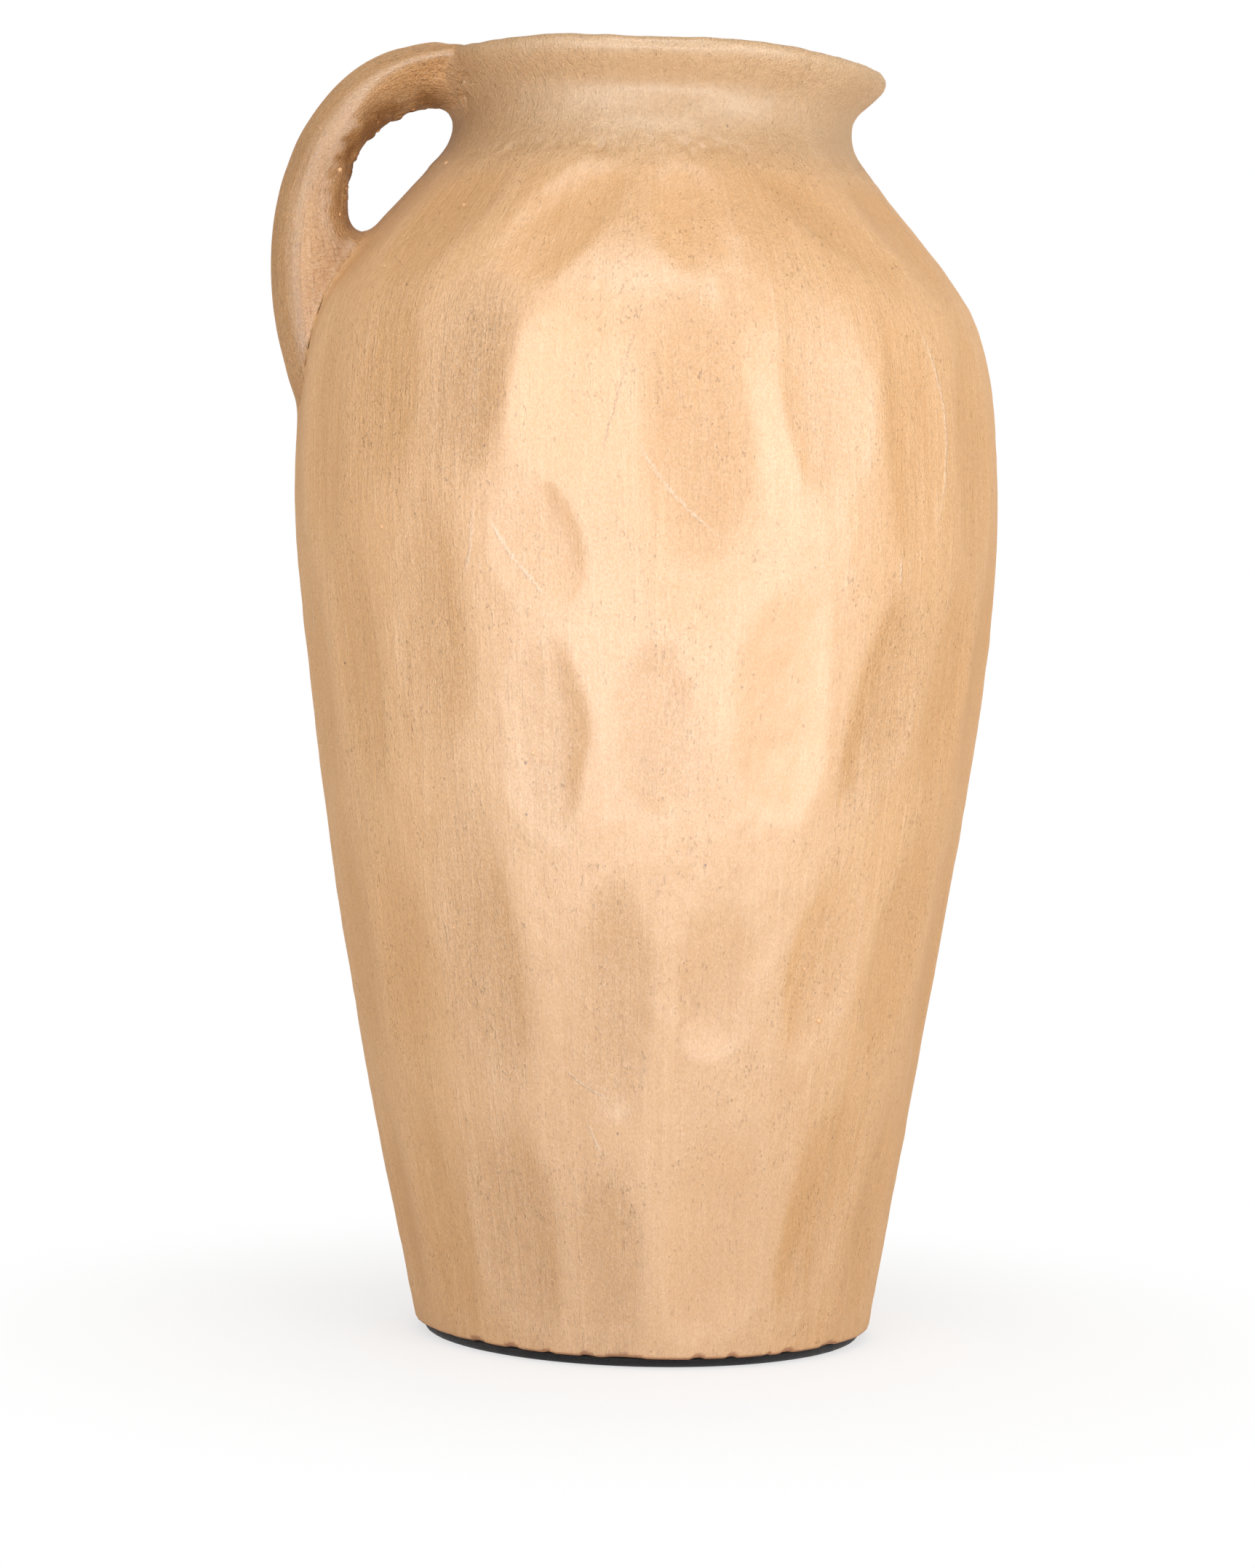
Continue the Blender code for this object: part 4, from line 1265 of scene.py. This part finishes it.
def painted_clay():
    made, n, shader, _ = start_material("painted_clay")
    place = n.attribute("place", "Vector")
    names = ("hollow", "streaky", "seam_and_underside_shade", "bare", "shade", "rough", "wax", "painted_light_on_neck")
    hollow, streaky, seam_and_underside_shade, bare, shade, uneven, wax, painted_light_on_neck = (n.attribute(name) for name in names)
    facing = n.add("ShaderNodeLayerWeight").outputs["Facing"]
    brush = n.group(BRUSH, {"Place": place})["Height"]
    grain = n.group(GRAIN, {"Place": place})
    sand = grain["Sand"]
    holes = n.group(DOTS, {"Place": place, **PIN_HOLES})["Mask"]
    raised = thin_lines(n, place, RAISED_LINES)
    scratched = thin_lines(n, place, SCRATCHES)
    cloudy = n.noise(place, (16, 16, 9), 3.0, 0.6)
    drawn_out = n.noise(place, (150, 150, 13), 3.0, 0.6, 0.4)
    strokes_show = n.scaled(streaky, 0.45, 0.25)
    drawn_out_show = n.scaled(streaky, 0.30, 0.12)
    grain_shows = n.scaled(uneven, 0.55, 0.12)
    darker = n.mixed(painted_light_on_neck, PAINT_DEEP, PAINT)

    # Each layer of colour, from the first to the last: how much of it shows, and the colour
    layers = (
        # Painted shade in the hollows and painted highlight on the ridges of the scraped dishes
        (n.times(n.stepped(hollow, 0.35, 1.05), 0.12), PAINT_DEEP),
        (n.times(n.stepped(hollow, 0.42, 0.08), 0.40), PAINT_PALE),
        # Painted light: the neck turns paler
        (painted_light_on_neck, NECK_PAINTED_LIGHT),
        (n.stepped(cloudy, 0.35, 0.70, 0.0, 0.35), darker),
        (n.times(n.stepped(brush, 0.60, 1.05, 1.0, 0.0), strokes_show), darker),
        (n.times(n.stepped(drawn_out, 0.50, 0.68), drawn_out_show), darker),
        (n.times(n.stepped(sand, 0.52, 0.36), grain_shows, clamp=True), darker),
        (n.times(n.stepped(sand, 0.50, 0.66), grain_shows, clamp=True), PAINT_PALE),
        (n.times(grain["Pits"], 0.22), darker),
        # Darker in the dented seam round the neck's foot, and painted shade on the strap's under side
        (n.times(seam_and_underside_shade, 0.35), PAINT_DEEP),
        # Painted shade by and under the strap, and the handle's blotchy brown
        (n.times(shade, 0.60, clamp=True), BROWN_SHADE_AND_TONE),
        # Painted highlights along the thin raised edges
        (n.times(raised, n.stepped(sand, 0.35, 0.60, 0.12, 0.45)), EDGE_HIGHLIGHT),
        (n.times(scratched, n.stepped(sand, 0.62, 0.40, 0.12, 0.45)), SCRATCH),
        (holes, SCRATCH),
        (bare, BARE_CLAY),
    )
    colour = PAINT
    for share, layer in layers:
        colour = n.mixed(share, colour, layer)

    # The satin shows only where the paint faces the viewer, and the bare clay has none
    rough = n.plus(n.stepped(facing, 0.25, 0.80, 0.36, 0.62), n.times(sand, 0.06))
    rough = n.maths("MAXIMUM", rough, n.times(bare, 0.85))
    waxed = n.times(n.stepped(facing, 0.06, 0.44, 0.82, 0.0), wax)
    waxed = n.times(waxed, n.stepped(sand, 0.34, 0.60, 0.80, 1.0))

    # The relief of each mark, and how high it stands in metres
    reliefs = (
        (grain["Height"], n.scaled(uneven, 0.00160, 0.00022)),
        (holes, -0.00035),
        (raised, 0.00040),
        (scratched, -0.00010),
    )
    height = n.times(brush, n.scaled(streaky, 0.00170, 0.00020))
    for mark, metres in reliefs:
        height = n.scaled(mark, metres, height)
    n.bump(shader, height, 1.0)
    n.feed_named(shader, {"Base Color": colour, "Roughness": rough, "Coat Weight": waxed})
    n.feed_named(shader, {"Coat IOR": 2.25, "Coat Roughness": 0.35, "Specular IOR Level": 0.18})
    return made


def black_felt():
    made, n, shader, _ = start_material("black_felt")
    fluff = n.noise(n.add("ShaderNodeTexCoord").outputs["Object"], (1800, 1800, 1800), 3.0, 0.7)
    colour = n.mixed(fluff, (0.006, 0.006, 0.007, 1.0), (0.022, 0.022, 0.025, 1.0))
    n.bump(shader, fluff, 0.0004)
    n.feed_named(shader, {"Base Color": colour, "Roughness": 0.95, "Sheen Weight": 0.25})
    return made


CLAY, FELT = painted_clay(), black_felt()
for piece in (base_slab, lower_wall, upper_wall, neck, handle):
    piece.data.materials.append(CLAY)
felt_pad.data.materials.append(FELT)

# %% [markdown]
# ## Crumbs and pimples
#
# Bits of grit and dried clay stay under the paint, most of them where the neck and the handle were joined on
# and no tool reached. They repeat hundreds of times, so Geometry Nodes scatter them. Points are dealt out
# over each piece by its "crumbs" mask, every point gets a small flattened ball, and the balls are made real.

# %% Crumb scatter
CRUMB_SETTINGS = (
    ("Per square metre", "Float", 500.0),
    ("Seed", "Int", 5),
    ("Smallest", "Float", 0.0003),
    ("Largest", "Float", 0.0011),
    ("Flatness", "Float", 0.55),
)
BALL_SEGMENTS, BALL_RINGS = 7, 5
SMALL_ONES_POWER = 2.5


def crumb_tree():
    tree = bpy.data.node_groups.new("Crumbs of clay", "GeometryNodeTree")
    tree.interface.new_socket(name="Geometry", in_out="INPUT", socket_type="NodeSocketGeometry")
    for label, kind, value in CRUMB_SETTINGS:
        socket = tree.interface.new_socket(name=label, in_out="INPUT", socket_type="NodeSocket" + kind)
        socket.default_value = value
    tree.interface.new_socket(name="Clay", in_out="INPUT", socket_type="NodeSocketMaterial")
    tree.interface.new_socket(name="Geometry", in_out="OUTPUT", socket_type="NodeSocketGeometry")
    n = Nodes(tree)
    given, out = n.add("NodeGroupInput").outputs, n.add("NodeGroupOutput")
    mask = n.add("GeometryNodeInputNamedAttribute", data_type="FLOAT")
    mask.inputs["Name"].default_value = "crumbs"
    dealt = n.add("GeometryNodeDistributePointsOnFaces")
    density = n.times(mask.outputs[0], given["Per square metre"])
    n.feed_named(dealt, {"Mesh": given["Geometry"], "Density": density, "Seed": given["Seed"]})
    ball = n.add("GeometryNodeMeshUVSphere")
    n.feed_named(ball, {"Segments": BALL_SEGMENTS, "Rings": BALL_RINGS, "Radius": 1.0})
    chance = n.add("FunctionNodeRandomValue", data_type="FLOAT")
    n.feed_named(chance, {"Seed": given["Seed"]})
    often_small = n.maths("POWER", next(s for s in chance.outputs if s.enabled), SMALL_ONES_POWER)
    span = n.minus(given["Largest"], given["Smallest"])
    size = n.scaled(often_small, span, given["Smallest"])
    scale = n.add("ShaderNodeCombineXYZ")
    n.feed_all(scale.inputs, (size, size, n.times(size, given["Flatness"])))
    put = n.add("GeometryNodeInstanceOnPoints")
    n.feed_named(put, {"Points": dealt.outputs["Points"], "Instance": ball.outputs["Mesh"]})
    n.feed_named(put, {"Rotation": dealt.outputs["Rotation"], "Scale": scale.outputs[0]})
    real = n.add("GeometryNodeRealizeInstances")
    n.link(put.outputs[0], real.inputs[0])
    finish = n.add("GeometryNodeSetMaterial")
    n.feed_named(finish, {"Geometry": real.outputs[0], "Material": given["Clay"]})
    n.link(finish.outputs[0], out.inputs["Geometry"])
    return tree


def crumbs_on(piece, name, seed):
    """The crumbs of one piece as a plain mesh of their own."""
    made = in_scene(name, piece.data)
    scatter = made.modifiers.new("crumbs", "NODES")
    scatter.node_group = CRUMBS
    sockets = {item.name: item.identifier for item in CRUMBS.interface.items_tree if item.in_out == "INPUT"}
    scatter[sockets["Seed"]] = seed
    scatter[sockets["Clay"]] = CLAY
    view = bpy.context.evaluated_depsgraph_get()
    scattered = made.evaluated_get(view)
    mesh = bpy.data.meshes.new_from_object(scattered, preserve_all_data_layers=True, depsgraph=view)
    made.modifiers.remove(scatter)
    mesh.name = name
    made.data = mesh
    mesh.shade_smooth()
    print(name, "-", len(mesh.polygons), "faces, with", [layer.name for layer in mesh.attributes][:12])
    return made


CRUMBS = crumb_tree()
crumbs = [
    crumbs_on(lower_wall, "lower_wall_crumbs", 11),
    crumbs_on(upper_wall, "upper_wall_crumbs", 12),
    crumbs_on(neck, "neck_crumbs", 13),
    crumbs_on(handle, "handle_crumbs", 14),
]

# %% [markdown]
# ## Stage and light
#
# The vase was photographed on white, lit from the front by two tall soft lights, one to the right and a
# weaker one to the left of the camera. A thin light on each side edges the wall, one above lights the
# shoulder, a low panel lights the under side of the flare, and one behind parts the far side from the
# background. The floor is a wide white disc that keeps the vase's soft shadow and turns into the plain white
# of the background further out.

# %% Stage
VASE_MIDDLE = (0.0, 0.0, 0.25)
LAMP_DISTANCE = 1.9
WORLD_STRENGTH = 0.50
FLOOR_RADIUS, FLOOR_SIDES, FLOOR_DROP = 1.5, 128, 0.0002
WHITE = (1.0, 1.0, 1.0, 1.0)


def lamp(name, place, aim, width, height, power):
    """A soft rectangular lamp that the camera doesn't see; sizes in metres and power in watts."""
    data = bpy.data.lights.new(name, "AREA")
    data.shape = "RECTANGLE"
    data.size, data.size_y, data.energy = width, height, power
    made = in_scene(name, data)
    back = unit(np.array(place, float) - np.array(aim, float))
    right = unit(np.cross((0.0, 0.0, 1.0), back))
    turn = Matrix((right, np.cross(back, right), back)).transposed().to_4x4()
    made.matrix_world = Matrix.Translation(place) @ turn
    made.visible_camera = False


def lamp_place(azimuth, elevation):
    """A place round the vase's middle, at degrees from the front and above the horizon."""
    a, e = math.radians(azimuth), math.radians(elevation)
    ahead = np.array((math.sin(a) * math.cos(e), -math.cos(a) * math.cos(e), math.sin(e)))
    return tuple((VASE_MIDDLE + LAMP_DISTANCE * ahead).tolist())


def background_rays(n):
    """1 for rays that show the background, straight or in a gloss, and 0 for rays that light the vase."""
    path = n.add("ShaderNodeLightPath").outputs
    seen = n.plus(path["Is Camera Ray"], path["Is Glossy Ray"])
    return n.plus(seen, path["Is Transmission Ray"], clamp=True)


def white_world():
    world = bpy.data.worlds.new("white")
    world.use_nodes = True
    world.node_tree.nodes.clear()
    n = Nodes(world.node_tree)
    background = n.add("ShaderNodeBackground")
    strength = n.scaled(background_rays(n), 1.0 - WORLD_STRENGTH, WORLD_STRENGTH)
    n.feed_named(background, {"Color": WHITE, "Strength": strength})
    n.link(background.outputs[0], n.add("ShaderNodeOutputWorld").inputs["Surface"])
    bpy.context.scene.world = world


def white_floor():
    turn = steps_round(FLOOR_SIDES)
    just_below = 0.0 * turn - FLOOR_DROP
    rim = np.stack([FLOOR_RADIUS * np.cos(turn), FLOOR_RADIUS * np.sin(turn), just_below], axis=-1)
    floor = mesh_object("floor", rim, [list(range(FLOOR_SIDES))])
    made, n, shader, out = start_material("white_floor")
    n.feed_named(shader, {"Base Color": (0.9, 0.9, 0.9, 1.0), "Roughness": 0.9})
    away = n.add("ShaderNodeVectorMath", operation="LENGTH")
    n.feed(away.inputs[0], n.add("ShaderNodeTexCoord").outputs["Object"])
    far = n.stepped(away.outputs["Value"], 0.085, 0.30, 0.66, 1.0)
    glow = n.add("ShaderNodeEmission")
    glow.inputs["Color"].default_value = WHITE
    mix = n.add("ShaderNodeMixShader")
    n.feed_all(mix.inputs, (n.times(background_rays(n), far), shader.outputs[0], glow.outputs[0]))
    n.link(mix.outputs[0], out.inputs["Surface"])
    floor.data.materials.append(made)


white_world()
white_floor()
lamp("key", lamp_place(50.0, 1.0), VASE_MIDDLE, 1.3, 1.8, 15.6)
lamp("fill", lamp_place(-23.0, 1.0), VASE_MIDDLE, 1.6, 1.8, 13.4)
lamp("right side", lamp_place(92.0, 8.0), VASE_MIDDLE, 0.5, 2.0, 4.2)
lamp("left side", lamp_place(-80.0, 5.0), VASE_MIDDLE, 0.8, 2.0, 0.8)
lamp("ceiling", lamp_place(0.0, 62.0), VASE_MIDDLE, 1.2, 1.2, 11.0)
lamp("low panel", (0.05, -0.80, 0.02), (0.05, -0.75, 0.30), 1.2, 0.3, 5.0)
lamp("behind", lamp_place(170.0, 30.0), VASE_MIDDLE, 1.6, 1.2, 6.0)
bpy.context.scene.view_settings.view_transform = "Standard"

# %% [markdown]
# ## The dressed vase in place of the imported one
# Each dressed piece stands for one node of the imported model, which is hidden, and is listed with that
# node's material slot. The sizes of the
# imported model and of the dressed one are written down side by side.

# %% Stand-ins and slots
PIECES = {
    "felt_pad": (felt_pad, "black_felt"),
    "base_slab": (base_slab, "painted_clay"),
    "lower_wall": (lower_wall, "painted_clay"),
    "upper_wall": (upper_wall, "painted_clay"),
    "neck_and_rim": (neck, "painted_clay"),
    "handle": (handle, "painted_clay"),
}
for node, (piece, slot) in PIECES.items():
    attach(piece, "root")
    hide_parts(node)
for piece in crumbs:
    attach(piece, "root")
